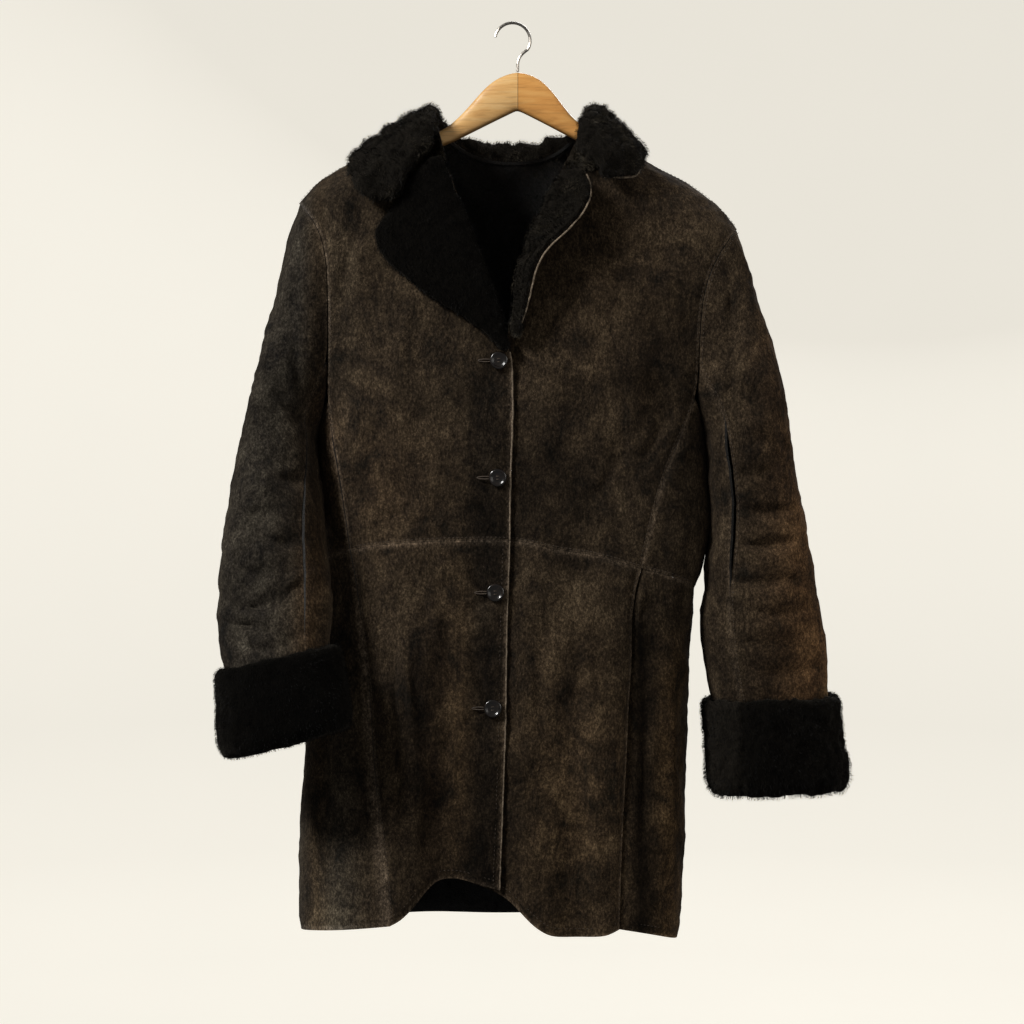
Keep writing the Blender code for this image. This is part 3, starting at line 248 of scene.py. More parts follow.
def make_suede():
    s = Shading("suede", 0.95, Sheen_Weight=0.05, Sheen_Roughness=0.45, Sheen_Tint=(0.8, 0.62, 0.48, 1.0))
    s.shader.inputs["Specular IOR Level"].default_value = 0.06
    clouds = s.noise(14.0, 6.0, 0.66, distortion=1.2)
    brushed = s.noise(46.0, 6.0, 0.72, stretch=(1.0, 1.0, 0.45), distortion=1.4)
    mottle = s.noise(150.0, 5.0, 0.76, distortion=0.6)
    grain = s.noise(480.0, 4.0, 0.82, stretch=(1.0, 1.0, 0.6))
    nap = s.noise(1300.0, 2.0, 0.75)
    tone = s.math("ADD", s.math("MULTIPLY", clouds, 0.42), s.math("MULTIPLY", brushed, 0.36))
    tone = s.math("ADD", tone, s.math("MULTIPLY", mottle, 0.22))
    colour = s.ramp(
        tone,
        (0.4, (0.008, 0.0066, 0.0048)),
        (0.47, (0.02, 0.0142, 0.0092)),
        (0.54, (0.037, 0.0262, 0.016)),
        (0.66, (0.082, 0.06, 0.037)),
    )
    worn = s.math("MULTIPLY", s.attribute("edge"), s.ramp(mottle, (0.38, 0.15), (0.6, 1.0)))
    colour = s.mix(s.math("MULTIPLY", worn, 0.7), colour, (0.15, 0.112, 0.078, 1.0))
    # Multiply in the nap's random tone and its painted light and shade.
    colour = s.mix(1.0, colour, s.attribute("tone_and_painted_light", "Color"), "MULTIPLY")
    colour = s.mix(1.0, colour, s.ramp(grain, (0.33, 0.3), (0.5, 0.9), (0.66, 2.3)), "MULTIPLY")
    colour = s.mix(1.0, colour, s.ramp(nap, (0.3, 0.7), (0.7, 1.35)), "MULTIPLY")
    height = s.math("ADD", s.math("MULTIPLY", brushed, 0.003), s.math("MULTIPLY", mottle, 0.0014))
    height = s.math("ADD", height, s.math("MULTIPLY", grain, 0.00065))
    height = s.math("ADD", height, s.math("MULTIPLY", nap, 0.00022))
    return s.finish(colour, s.bump(height, 1.0, 0.9))


def make_wool():
    s = Shading("wool_inside", 0.95, Sheen_Weight=0.12, Sheen_Roughness=0.5)
    curl = s.noise(230.0, 4.0, 0.7, distortion=1.6)
    fine = s.noise(900.0, 3.0, 0.7)
    colour = s.ramp(curl, (0.35, (0.0018, 0.0016, 0.0014)), (0.7, (0.01, 0.0082, 0.0062)))
    height = s.math("ADD", s.math("MULTIPLY", curl, 0.003), s.math("MULTIPLY", fine, 0.0008))
    return s.finish(colour, s.bump(height, 1.0))


def make_raw_edge():
    s = Shading("raw_edge", 0.9)
    shade = s.noise(420.0, 4.0, 0.7)
    colour = s.ramp(
        shade,
        (0.3, (0.075, 0.054, 0.036)),
        (0.5, (0.21, 0.16, 0.11)),
        (0.7, (0.38, 0.3, 0.215)),
    )
    return s.finish(colour, s.bump(s.noise(1500.0), 0.0003))


def make_thread():
    s = Shading("thread", 0.75)
    colour = s.ramp(s.noise(800.0), (0.3, (0.03, 0.022, 0.016)), (0.7, (0.1, 0.072, 0.05)))
    return s.finish(colour, s.bump(s.noise(4000.0, 1.0), 0.0001))


def make_fur_core():
    s = Shading("fur_core", 0.95, Sheen_Weight=0.05, Sheen_Roughness=0.4, Sheen_Tint=(0.9, 0.8, 0.65, 1.0))
    s.shader.inputs["Specular IOR Level"].default_value = 0.05
    strands = s.noise(800.0, 3.0, 0.7, stretch=(1.0, 1.0, 0.35))
    colour = s.ramp(strands, (0.3, (0.0012, 0.0011, 0.001)), (0.75, (0.008, 0.0067, 0.005)))
    colour = s.mix(1.0, colour, s.attribute("shade"), "MULTIPLY")
    return s.finish(colour, s.bump(strands, 0.0012))


def make_hair():
    s = Shading("fur_hair", 0.6)
    s.shader.inputs["Specular IOR Level"].default_value = 0.12
    colour = s.ramp(
        s.attribute("tone"),
        (0.05, (0.001, 0.0009, 0.0008)),
        (0.35, (0.005, 0.0042, 0.0032)),
        (0.6, (0.024, 0.02, 0.014)),
        (0.95, (0.095, 0.079, 0.054)),
    )
    return s.finish(colour)


# The hanger's two halves meet here
WOOD_JOINT_X = 0.0045
WOOD_JOINT_HALF_WIDTH = 0.00035


def make_wood():
    s = Shading("varnished_wood", 0.34, Coat_Weight=0.35, Coat_Roughness=0.18)
    grain = s.noise(30.0, 6.0, 0.62, stretch=(0.45, 1.0, 3.2), distortion=1.2)
    pores = s.noise(260.0, 3.0, 0.6, stretch=(0.12, 1.0, 1.6))
    blotch = s.noise(9.0, 2.0)
    light = s.ramp(
        grain,
        (0.3, (0.74, 0.4, 0.135)),
        (0.5, (0.88, 0.53, 0.2)),
        (0.72, (0.95, 0.64, 0.29)),
    )
    warm = s.ramp(
        grain,
        (0.3, (0.66, 0.29, 0.07)),
        (0.5, (0.8, 0.39, 0.105)),
        (0.72, (0.9, 0.5, 0.16)),
    )
    across = s.node("SeparateXYZ", {"Vector": s.where}).outputs["X"]
    right_half = s.math("GREATER_THAN", across, WOOD_JOINT_X)
    colour = s.mix(right_half, light, warm)
    colour = s.mix(s.ramp(pores, (0.3, 0.35), (0.48, 0.0)), colour, (0.25, 0.11, 0.035, 1.0))
    colour = s.mix(s.ramp(blotch, (0.4, 0.0), (0.75, 0.3)), colour, (0.5, 0.23, 0.065, 1.0))
    from_joint = s.math("ABSOLUTE", s.math("SUBTRACT", across, WOOD_JOINT_X))
    joint = s.math("LESS_THAN", from_joint, WOOD_JOINT_HALF_WIDTH)
    colour = s.mix(s.math("MULTIPLY", joint, 0.75), colour, (0.09, 0.04, 0.015, 1.0))
    # Painted shade: faces that look down are darkened.
    under = s.ramp(s.attribute("painted_underside_shade"), (0.35, 0.0), (0.8, 0.75))
    colour = s.mix(under, colour, (0.13, 0.055, 0.018, 1.0))
    return s.finish(colour, s.bump(pores, 0.00012))


def make_steel():
    s = Shading("hook_steel", 0.24, Metallic=1.0)
    scratches = s.noise(900.0, 3.0, 0.6, stretch=(1.0, 1.0, 0.15))
    colour = s.ramp(scratches, (0.3, (0.3, 0.275, 0.24)), (0.7, (0.46, 0.43, 0.39)))
    rough = s.ramp(scratches, (0.3, 0.2), (0.7, 0.38))
    return s.finish(colour, s.bump(scratches, 0.00005), rough)


def make_horn():
    s = Shading("button_horn", 0.25, Coat_Weight=0.5, Coat_Roughness=0.12)
    streaks = s.noise(140.0, 5.0, 0.65, distortion=2.0)
    colour = s.ramp(
        streaks,
        (0.35, (0.003, 0.0022, 0.0018)),
        (0.6, (0.0085, 0.0055, 0.004)),
        (0.8, (0.042, 0.024, 0.014)),
    )
    return s.finish(colour, s.bump(s.noise(600.0), 0.00006))


def make_pale(name, colour, glow):
    s = Shading(name, 0.9, Emission_Color=(*colour, 1.0), Emission_Strength=glow)
    low = tuple(0.985 * value for value in colour)
    return s.finish(s.ramp(s.noise(3.0, 2.0), (0.3, low), (0.7, colour)))


SUEDE = make_suede()
WOOL = make_wool()
RAW_EDGE = make_raw_edge()
THREAD = make_thread()
FUR_CORE = make_fur_core()
HAIR = make_hair()
WOOD = make_wood()
STEEL = make_steel()
HORN = make_horn()


# ---------------- suede panels


def nearest_on(axis, points):
    """The nearest points on a line through a few places."""
    axis = np.asarray(axis, float)
    best = np.full(len(points), np.inf)
    found = np.zeros_like(points)
    for start, stop in zip(axis, axis[1:]):
        way = stop - start
        share = np.clip((points - start) @ way / (way @ way), 0.0, 1.0)
        place_on_line = start + share[:, None] * way
        distance = np.linalg.norm(points - place_on_line, axis=1)
        closer = distance < best
        best[closer] = distance[closer]
        found[closer] = place_on_line[closer]
    return found


def outer_face(node, axis):
    """The solid's outer face alone, its triangles joined to four-sided faces."""
    bm = welded(node)
    seen = set()
    regions = []
    for start in bm.faces:
        if start in seen:
            continue
        region = []
        waiting = [start]
        seen.add(start)
        while waiting:
            face = waiting.pop()
            region.append(face)
            for edge in face.edges:
                for other in edge.link_faces:
                    if other not in seen and face.normal.angle(other.normal) < SHARP:
                        seen.add(other)
                        waiting.append(other)
        regions.append(region)
    regions.sort(key=lambda region: sum(face.calc_area() for face in region))

    def outwardness(region):
        centres = np.array([face.calc_center_median() for face in region])
        normals = np.array([face.normal for face in region])
        areas = np.array([face.calc_area() for face in region])
        return (areas * np.sum(normals * (centres - nearest_on(axis, centres)), axis=1)).sum()

    kept = set(max(regions[-2:], key=outwardness))
    bmesh.ops.delete(bm, geom=[face for face in bm.faces if face not in kept], context="FACES")
    bmesh.ops.join_triangles(bm, faces=bm.faces, angle_face_threshold=math.pi, angle_shape_threshold=math.pi)
    return bm


def refined(bm, levels):
    obj = temporary(bm)
    smooth = obj.modifiers.new("smooth", "SUBSURF")
    smooth.levels = levels
    smooth.boundary_smooth = "PRESERVE_CORNERS"
    return evaluated_copy(obj)


def boundary_loop(faces):
    """The vertices of the panel's edge, in order."""
    after = {}
    edges = {(a, b) for face in faces for a, b in zip(face, face[1:] + face[:1])}
    for a, b in edges:
        if (b, a) not in edges:
            after[a] = b
    loop = [next(iter(after))]
    while after[loop[-1]] != loop[0]:
        loop.append(after[loop[-1]])
    return np.array(loop)


def corner_turns(points, loop):
    ahead = unit(points[np.roll(loop, -1)] - points[loop])
    behind = unit(points[loop] - points[np.roll(loop, 1)])
    return np.degrees(np.arccos(np.clip(np.sum(ahead * behind, axis=1), -1, 1)))


def edge_distances(points, loop):
    tree = KDTree(len(loop))
    for number, vertex in enumerate(loop):
        tree.insert(points[vertex], number)
    tree.balance()
    return np.array([tree.find(point)[2] for point in points])


CREASE_GAIN = 1.7
CREASE_STEPS = 14
CREASE_RIM_SHARE = 0.22
CREASE_RIM_REACH = 5

# Creases through three places, troughs where the depth is negative, 1 for the front and -1 for the back:
# side, x0, z0, x1, z1, x2, z2, width, depth
CREASES = (
    # pocket openings
    (1, 0.129, -0.572, 0.121, -0.606, 0.125, -0.648, 0.0042, -0.0034),
    (1, 0.134, -0.586, 0.13, -0.612, 0.1262, -0.64, 0.0034, 0.002),
    (1, -0.168, -0.564, -0.16, -0.602, -0.155, -0.65, 0.0044, -0.0034),
    # left sleeve, across it above the cuff and at the elbow
    (1, -0.297, -0.6, -0.262, -0.612, -0.215, -0.592, 0.0075, -0.0042),
    (1, -0.3, -0.632, -0.268, -0.628, -0.232, -0.64, 0.006, -0.0034),
    (1, -0.292, -0.56, -0.262, -0.578, -0.238, -0.572, 0.008, -0.0036),
    (1, -0.262, -0.532, -0.232, -0.548, -0.204, -0.536, 0.0075, -0.0038),
    (1, -0.286, -0.505, -0.262, -0.52, -0.236, -0.512, 0.0085, -0.003),
    (1, -0.248, -0.47, -0.226, -0.486, -0.204, -0.478, 0.008, -0.0032),
    (1, -0.276, -0.44, -0.258, -0.462, -0.24, -0.458, 0.009, -0.0024),
    (1, -0.232, -0.6, -0.214, -0.58, -0.198, -0.586, 0.0065, 0.0028),
    (1, -0.282, -0.64, -0.25, -0.652, -0.206, -0.636, 0.006, -0.003),
    (1, -0.24, -0.398, -0.222, -0.42, -0.206, -0.424, 0.008, -0.0026),
    (1, -0.222, -0.25, -0.226, -0.33, -0.216, -0.4, 0.01, -0.0026),
    (1, -0.25, -0.3, -0.262, -0.38, -0.27, -0.45, 0.012, 0.0018),
    # right sleeve
    (1, 0.222, -0.5, 0.255, -0.518, 0.3, -0.508, 0.0075, -0.0038),
    (1, 0.226, -0.542, 0.262, -0.552, 0.306, -0.538, 0.007, -0.0042),
    (1, 0.216, -0.578, 0.25, -0.59, 0.296, -0.58, 0.007, -0.0036),
    (1, 0.236, -0.612, 0.276, -0.622, 0.318, -0.606, 0.0065, -0.0036),
    (1, 0.212, -0.64, 0.25, -0.652, 0.3, -0.646, 0.0065, -0.0034),
    (1, 0.232, -0.676, 0.276, -0.684, 0.326, -0.67, 0.006, -0.003),
    (1, 0.214, -0.462, 0.24, -0.478, 0.268, -0.47, 0.008, -0.003),
    (1, 0.222, -0.42, 0.246, -0.44, 0.276, -0.444, 0.009, -0.0024),
    (1, 0.222, -0.26, 0.226, -0.33, 0.222, -0.41, 0.01, -0.0026),
    (1, 0.262, -0.32, 0.28, -0.4, 0.29, -0.47, 0.012, 0.0018),
    (1, 0.276, -0.56, 0.29, -0.58, 0.312, -0.572, 0.006, 0.0026),
    # fronts: shoulders, chest and waist
    (1, -0.15, -0.2, -0.172, -0.26, -0.178, -0.34, 0.014, -0.0028),
    (1, 0.11, -0.2, 0.15, -0.25, 0.178, -0.32, 0.015, -0.0028),
    (1, -0.1, -0.3, -0.12, -0.38, -0.112, -0.46, 0.018, 0.0022),
    (1, 0.1, -0.3, 0.12, -0.38, 0.116, -0.47, 0.018, 0.0022),
    (1, -0.15, -0.43, -0.12, -0.47, -0.09, -0.52, 0.012, -0.0024),
    (1, 0.13, -0.42, 0.104, -0.47, 0.072, -0.52, 0.012, -0.0022),
    (1, 0.16, -0.4, 0.146, -0.44, 0.122, -0.48, 0.01, -0.0022),
    (1, -0.172, -0.48, -0.15, -0.51, -0.12, -0.53, 0.009, -0.0022),
    (1, -0.045, -0.44, -0.03, -0.48, -0.02, -0.5, 0.007, -0.0016),
    # placket
    (1, -0.046, -0.56, -0.036, -0.59, -0.022, -0.606, 0.005, -0.0022),
    (1, -0.05, -0.625, -0.038, -0.612, -0.024, -0.606, 0.005, -0.002),
    (1, -0.044, -0.655, -0.034, -0.69, -0.026, -0.712, 0.0055, -0.0022),
    (1, -0.052, -0.735, -0.04, -0.724, -0.026, -0.718, 0.005, -0.0018),
    (1, -0.04, -0.48, -0.03, -0.484, -0.02, -0.484, 0.0045, -0.0016),
    # skirt
    (1, -0.112, -0.64, -0.104, -0.74, -0.098, -0.88, 0.01, 0.0036),
    (1, -0.126, -0.64, -0.12, -0.74, -0.116, -0.88, 0.0085, -0.0036),
    (1, -0.072, -0.6, -0.066, -0.7, -0.07, -0.8, 0.014, -0.0026),
    (1, -0.112, -0.575, -0.096, -0.6, -0.086, -0.64, 0.007, -0.0026),
    (1, 0.03, -0.6, 0.026, -0.72, 0.03, -0.86, 0.016, -0.0028),
    (1, 0.072, -0.62, 0.08, -0.74, 0.084, -0.9, 0.015, 0.0028),
    (1, 0.136, -0.64, 0.134, -0.76, 0.13, -0.9, 0.009, -0.0036),
    (1, 0.16, -0.64, 0.164, -0.76, 0.16, -0.9, 0.012, 0.003),
    (1, -0.19, -0.64, -0.194, -0.76, -0.19, -0.9, 0.014, -0.0026),
    # back: body, skirt and sleeves
    (-1, -0.12, -0.2, -0.15, -0.27, -0.165, -0.36, 0.015, -0.0028),
    (-1, 0.12, -0.21, 0.152, -0.28, 0.162, -0.37, 0.015, -0.0028),
    (-1, -0.06, -0.16, -0.03, -0.176, 0.01, -0.17, 0.009, -0.0018),
    (-1, -0.1, -0.43, -0.06, -0.47, -0.02, -0.48, 0.012, -0.0024),
    (-1, 0.11, -0.44, 0.07, -0.484, 0.03, -0.5, 0.012, -0.0024),
    (-1, -0.12, -0.52, -0.08, -0.536, -0.04, -0.53, 0.009, -0.0022),
    (-1, 0.12, -0.525, 0.08, -0.545, 0.04, -0.54, 0.009, -0.0022),
    (-1, -0.08, -0.62, -0.084, -0.74, -0.09, -0.9, 0.015, -0.0032),
    (-1, -0.03, -0.62, -0.028, -0.74, -0.03, -0.9, 0.015, 0.0028),
    (-1, 0.04, -0.62, 0.042, -0.74, 0.046, -0.9, 0.014, -0.003),
    (-1, 0.096, -0.62, 0.1, -0.76, 0.104, -0.9, 0.015, 0.0028),
    (-1, -0.296, -0.56, -0.264, -0.576, -0.222, -0.566, 0.0075, -0.0036),
    (-1, -0.296, -0.606, -0.262, -0.618, -0.216, -0.604, 0.007, -0.0036),
    (-1, -0.27, -0.5, -0.246, -0.516, -0.216, -0.506, 0.008, -0.0032),
    (-1, -0.262, -0.45, -0.24, -0.466, -0.216, -0.462, 0.008, -0.0026),
    (-1, 0.226, -0.52, 0.262, -0.534, 0.304, -0.524, 0.0075, -0.0036),
    (-1, 0.222, -0.572, 0.262, -0.584, 0.306, -0.574, 0.007, -0.0038),
    (-1, 0.22, -0.626, 0.262, -0.64, 0.314, -0.628, 0.007, -0.0034),
    (-1, 0.23, -0.47, 0.256, -0.486, 0.286, -0.48, 0.008, -0.0028),
    (-1, 0.226, -0.674, 0.272, -0.684, 0.322, -0.672, 0.0065, -0.0028),
)


def crease_depths(points, normals):
    """How far the creases move each point out."""
    total = np.zeros(len(points))
    across = np.linspace(0, 1, CREASE_STEPS)[:, None]
    for row in CREASES:
        side, x0, z0, x1, z1, x2, z2, width, depth = row
        start, middle, stop = np.array([x0, z0]), np.array([x1, z1]), np.array([x2, z2])
        pull = 2 * middle - (start + stop) / 2
        line = (1 - across) ** 2 * start + 2 * across * (1 - across) * pull + across**2 * stop
        flat = points[:, [0, 2]]
        near = (np.abs(flat - line.mean(axis=0)) < np.ptp(line, axis=0) / 2 + 3.5 * width).all(axis=1)
        near &= normals[:, 1] * side < 0.35
        if not near.any():
            continue
        away = np.full(near.sum(), np.inf)
        along = np.zeros(near.sum())
        for number, (here, ahead) in enumerate(zip(line, line[1:])):
            way = ahead - here
            share = np.clip((flat[near] - here) @ way / (way @ way), 0, 1)
            distance = np.linalg.norm(flat[near] - here - share[:, None] * way, axis=1)
            closer = distance < away
            away[closer] = distance[closer]
            along[closer] = (number + share[closer]) / (len(line) - 1)
        uneven = 0.8 + 0.35 * np.sin(9.0 * along + 40 * x0)
        taper = np.sin(math.pi * np.clip(along, 0.03, 0.97)) ** 0.6
        facing = smoothstep(-0.35, 0.25, -normals[near, 1] * side)
        spread = (away / (width * uneven)) ** 2
        profile = np.exp(-spread) - CREASE_RIM_SHARE * np.exp(-spread / CREASE_RIM_REACH)
        total[near] += CREASE_GAIN * depth * taper * facing * profile
    return total


SLEEVE_L = ("sleeve_upper_L", "sleeve_under_L")
SLEEVE_R = ("sleeve_upper_R", "sleeve_under_R")
BODY_L = ("side_upper_L", "side_skirt_L", "front_upper_L", "back_upper", "front_skirt_L")
BODY_R = ("side_upper_R", "side_skirt_R", "front_upper_R", "back_upper", "front_skirt_R")

# Where a sleeve and the side of the body rest against each other: pieces, the way they face there, how
# far they bulge, then the heights where the bulge starts, is full, is full still and has gone
PRESSES = (
    (SLEEVE_L, 1, 0.0046, -0.405, -0.45, -0.6, -0.65),
    (BODY_L, -1, 0.003, -0.415, -0.45, -0.59, -0.64),
    (SLEEVE_R, -1, 0.0078, -0.41, -0.455, -0.565, -0.61),
    (BODY_R, 1, 0.003, -0.42, -0.455, -0.57, -0.61),
)


def press_bulge(name, points, normals):
    total = np.zeros(len(points))
    for names, way, depth, top, full_top, full_bottom, bottom in PRESSES:
        if name in names:
            z = points[:, 2]
            window = smoothstep(top, full_top, z) * smoothstep(bottom, full_bottom, z)
            total += depth * window * smoothstep(0.35, 0.95, normals[:, 0] * way)
    return total


# Soft spots of another colour on the front: x, half width, z, half height, colour. The dark and light pair at
# x -0.085 and -0.055 is painted shade in a fold and a painted highlight beside it; the others are broad
# lighter patches.
TONE_AND_PAINTED_LIGHT_SPOTS = (
    (-0.14, 0.05, -0.49, 0.07, (1.4, 1.32, 1.25)),
    (0.11, 0.08, -0.3, 0.14, (1.3, 1.26, 1.22)),
    (0.06, 0.07, -0.82, 0.16, (1.45, 1.34, 1.18)),
    (-0.085, 0.018, -0.78, 0.18, (0.62, 0.58, 0.55)),
    (-0.055, 0.02, -0.76, 0.18, (1.25, 1.15, 1.00)),
)
# Upright strips of painted light and shade: x, half width, z where it starts, z where it is full, on the
# front only, colour. Painted warm light on the left sleeve's inner side, painted cool light low on the left
# side, painted shade in the creases at x -0.03 and 0.132, a painted highlight on the ridge at 0.163.
PAINTED_LIGHT_STRIPS = (
    (-0.208, 0.022, -0.36, -0.44, True, (1.25, 1.1, 0.95)),
    (-0.19, 0.03, -0.6, -0.92, False, (1.25, 1.45, 1.65)),
    (-0.03, 0.018, -0.34, -0.42, True, (0.5, 0.52, 0.56)),
    (0.132, 0.013, -0.57, -0.66, True, (0.25, 0.25, 0.25)),
    (0.163, 0.018, -0.6, -0.72, True, (1.75, 1.55, 1.25)),
)
SLEEVE_PAINTED_LIGHT_SHARE = 0.9
TINT_WAVES = ((0.16, 0.16, 5), (0.1, 0.06, 6))
TONE_AND_PAINTED_LIGHT_RANGE = (0.15, 3.0)


def nap_tone_and_painted_light(points, normals):
    """Colour of the nap by place, as the photo shows it: painted light and shade (cooler and darker on the
    left, warmer and lighter on the right, painted shade in creases and the neck, painted highlights on
    ridges) over random tone.
    """
    x, z = points[:, 0], points[:, 2]
    tone_and_painted_light = np.ones((len(points), 3))

    def blend(share, colour):
        tone_and_painted_light[:] = tone_and_painted_light * (1 - share[:, None]) + tone_and_painted_light * share[:, None] * np.asarray(colour)

    front = smoothstep(-0.2, 0.6, -normals[:, 1])
    # Painted light: the left sleeve cooler and bluer, as light falls on it.
    blend(smoothstep(-0.2, -0.225, x) * SLEEVE_PAINTED_LIGHT_SHARE, (0.82, 1.00, 1.26))
    # A lighter grey band at x -0.175 to -0.19.
    blend(smoothstep(-0.15, -0.175, x) * smoothstep(-0.2, -0.19, x), (1.3, 1.34, 1.38))
    # Painted light: the right sleeve warmer and lighter, and its outer side lighter still.
    blend(smoothstep(0.225, 0.3, x) * SLEEVE_PAINTED_LIGHT_SHARE, (1.55, 1.3, 1.1))
    blend(smoothstep(0.255, 0.325, x) * smoothstep(-0.34, -0.56, z), (1.75, 1.6, 1.4))
    for spot_x, half_width, spot_z, half_height, colour in TONE_AND_PAINTED_LIGHT_SPOTS:
        spread = ((x - spot_x) / half_width) ** 2 + ((z - spot_z) / half_height) ** 2
        blend(np.exp(-spread) * front, colour)
    # Painted light and shade in upright strips.
    for strip_x, half_width, start_z, full_z, front_only, colour in PAINTED_LIGHT_STRIPS:
        share = np.exp(-(((x - strip_x) / half_width) ** 2)) * smoothstep(start_z, full_z, z)
        blend(share * front if front_only else share, colour)
    # Painted shade: the suede inside the neck opening made almost black.
    in_neck = smoothstep(0.094, 0.08, x) * smoothstep(-0.098, -0.088, x)
    blend(smoothstep(-0.185, -0.16, z) * in_neck, (0.1, 0.1, 0.1))
    uneven = 1 + sum(height * waves(points, size, seed) for height, size, seed in TINT_WAVES)
    return np.clip(tone_and_painted_light * uneven[:, None], *TONE_AND_PAINTED_LIGHT_RANGE)


def make_panel(name):
    levels, width, length, area = PANELS[name]
    axis = SLEEVE_AXIS[name[-1]] if name.startswith("sleeve") else BODY_AXIS
    points, faces, normals = refined(outer_face(name, axis), levels)
    loop = boundary_loop(faces)
    distance = edge_distances(points, loop)
    inner_part = smoothstep(0.0, CALM_EDGE, distance)
    out = crease_depths(points, normals) * (CREASE_AT_EDGE + (1 - CREASE_AT_EDGE) * inner_part)
    for height, size, seed in RELIEF:
        out += inner_part * height * waves(points, size, seed)
    pinch = SEAM_PINCH_DEPTH * (SLEEVE_PINCH_SHARE if name.startswith("sleeve") else 1.0)
    out -= pinch * np.exp(-((distance / SEAM_PINCH_WIDTH) ** 2))
    out += press_bulge(name, points, normals)
    surface = points + out[:, None] * normals
    inside = surface - SHELL_THICKNESS * normals
    count = len(points)
    shell_faces = list(faces)
    kinds = [0] * len(faces)
    shell_faces += [tuple(count + vertex for vertex in reversed(face)) for face in faces]
    kinds += [1] * len(faces)
    for here, ahead in zip(loop, np.roll(loop, -1)):
        shell_faces.append((int(ahead), int(here), int(here) + count, int(ahead) + count))
        kinds.append(1)
    obj = add_mesh(name + "_suede", np.concatenate([surface, inside]), shell_faces, (SUEDE, WOOL), kinds)
    obj.data.set_sharp_from_angle(angle=SHELL_SHARP)
    both = np.tile(distance, 2)
    wear = SLEEVE_WEAR_SHARE if name.startswith("sleeve") else 1.0
    set_attribute(obj, "edge", wear * np.exp(-((both / WEAR_WIDTH) ** 2)))
    colours = np.concatenate([nap_tone_and_painted_light(points, normals), np.ones((count, 1))], axis=1)
    set_attribute(obj, "tone_and_painted_light", np.tile(colours, (2, 1)), "FLOAT_COLOR")
    place(obj, name)
    return obj, surface, normals, faces, loop


# ---------------- sewing


# Sides of a panel that carry a row of stitches: a place near the side's middle, and how far in it runs
STITCHED = (
    ("front_upper_L", -0.085, -0.548, 0.003),
    ("front_upper_R", 0.07, -0.565, 0.003),
    ("front_upper_L", -0.192, -0.4, 0.0032),
    ("front_upper_R", 0.185, -0.41, 0.0032),
    ("front_upper_L", -0.15, -0.15, 0.003),
    ("front_upper_R", 0.15, -0.15, 0.003),
    ("side_upper_L", -0.195, -0.565, 0.003),
    ("side_upper_R", 0.19, -0.59, 0.003),
    ("back_upper", 0.000, -0.575, 0.003),
    ("back_upper", -0.185, -0.4, 0.0032),
    ("back_upper", 0.185, -0.4, 0.0032),
    ("front_skirt_L", -0.145, -0.75, 0.0032),
    ("front_skirt_R", 0.118, -0.75, 0.0032),
    ("front_skirt_L", -0.07, -0.92, 0.0085),
    ("front_skirt_R", 0.05, -0.94, 0.0085),
    ("front_skirt_L", -0.012, -0.72, 0.006),
    ("side_skirt_L", -0.2, -0.95, 0.0085),
    ("side_skirt_R", 0.16, -0.955, 0.0085),
    ("back_skirt", 0.000, -0.955, 0.0085),
    ("back_skirt", -0.155, -0.76, 0.0032),
    ("back_skirt", 0.14, -0.76, 0.0032),
    ("sleeve_upper_R", 0.235, -0.52, 0.003),
)
STITCH_PITCH = 0.0043
STITCH_LENGTH = 0.003
STITCH_HALF_WIDTH = 0.0003
STITCH_RISE = 0.00045
STITCH_SINK_SHARE = 0.55
FIRST_STITCH = 0.004
LAST_STITCH = 0.006
CORNER_TURN = 34.0
SHORTEST_SIDE = 6


def sides_of(points, loop):
    """The panel's edge cut at its corners."""
    corners = np.flatnonzero(corner_turns(points, loop) > CORNER_TURN)
    if len(corners) < 2:
        return [loop]
    sides = []
    for start, stop in zip(corners, np.append(corners[1:], corners[0] + len(loop))):
        side = loop[np.arange(start, stop + 1) % len(loop)]
        if len(side) > SHORTEST_SIDE:
            sides.append(side)
    return sides


def nearest_side(points, loop, x, z):
    """The side of the piece that comes nearest to a place on the front or the back."""
    guide = np.array([x, z])
    sides = sides_of(points, loop)
    return min(sides, key=lambda side: np.linalg.norm(points[side][:, [0, 2]] - guide, axis=1).min())


def stitch_rows(panels):
    points_all, faces_all = [], []
    total = 0
    for name, guide_x, guide_z, inset in STITCHED:
        _, surface, normals, faces, loop = panels[name]
        side = nearest_side(surface, loop, guide_x, guide_z)
        line, facing = surface[side], normals[side]
        tangent = unit(np.gradient(line, axis=0))
        inward = unit(np.cross(facing, tangent))
        row = line + inward * inset + facing * (STITCH_RISE + SEAM_PINCH_DEPTH * STITCH_SINK_SHARE)
        lengths = np.append(0.0, np.cumsum(np.linalg.norm(np.diff(row, axis=0), axis=1)))
        starts = np.arange(FIRST_STITCH, lengths[-1] - LAST_STITCH, STITCH_PITCH)

        def at(where, values):
            return np.stack([np.interp(where, lengths, column) for column in values.T], axis=1)

        first, last = at(starts, row), at(starts + STITCH_LENGTH, row)
        up, across = unit(at(starts, facing)), unit(at(starts, inward))
        middle = (first + last) / 2
        rise, side_step = up * STITCH_HALF_WIDTH, across * STITCH_HALF_WIDTH
        belt = [middle + rise, middle + side_step, middle - rise, middle - side_step]
        corners = np.stack([first, *belt, last], axis=1)
        for number in range(len(starts)):
            base = total + 6 * number
            for side_of_four in range(4):
                one, two = base + 1 + side_of_four, base + 1 + (side_of_four + 1) % 4
                faces_all.append((base, one, two))
                faces_all.append((base + 5, two, one))
        total += 6 * len(starts)
        points_all.append(corners.reshape(-1, 3))
    obj = add_mesh("stitching", np.concatenate(points_all), faces_all, (THREAD,))
    place(obj, None)


# ---------------- fur


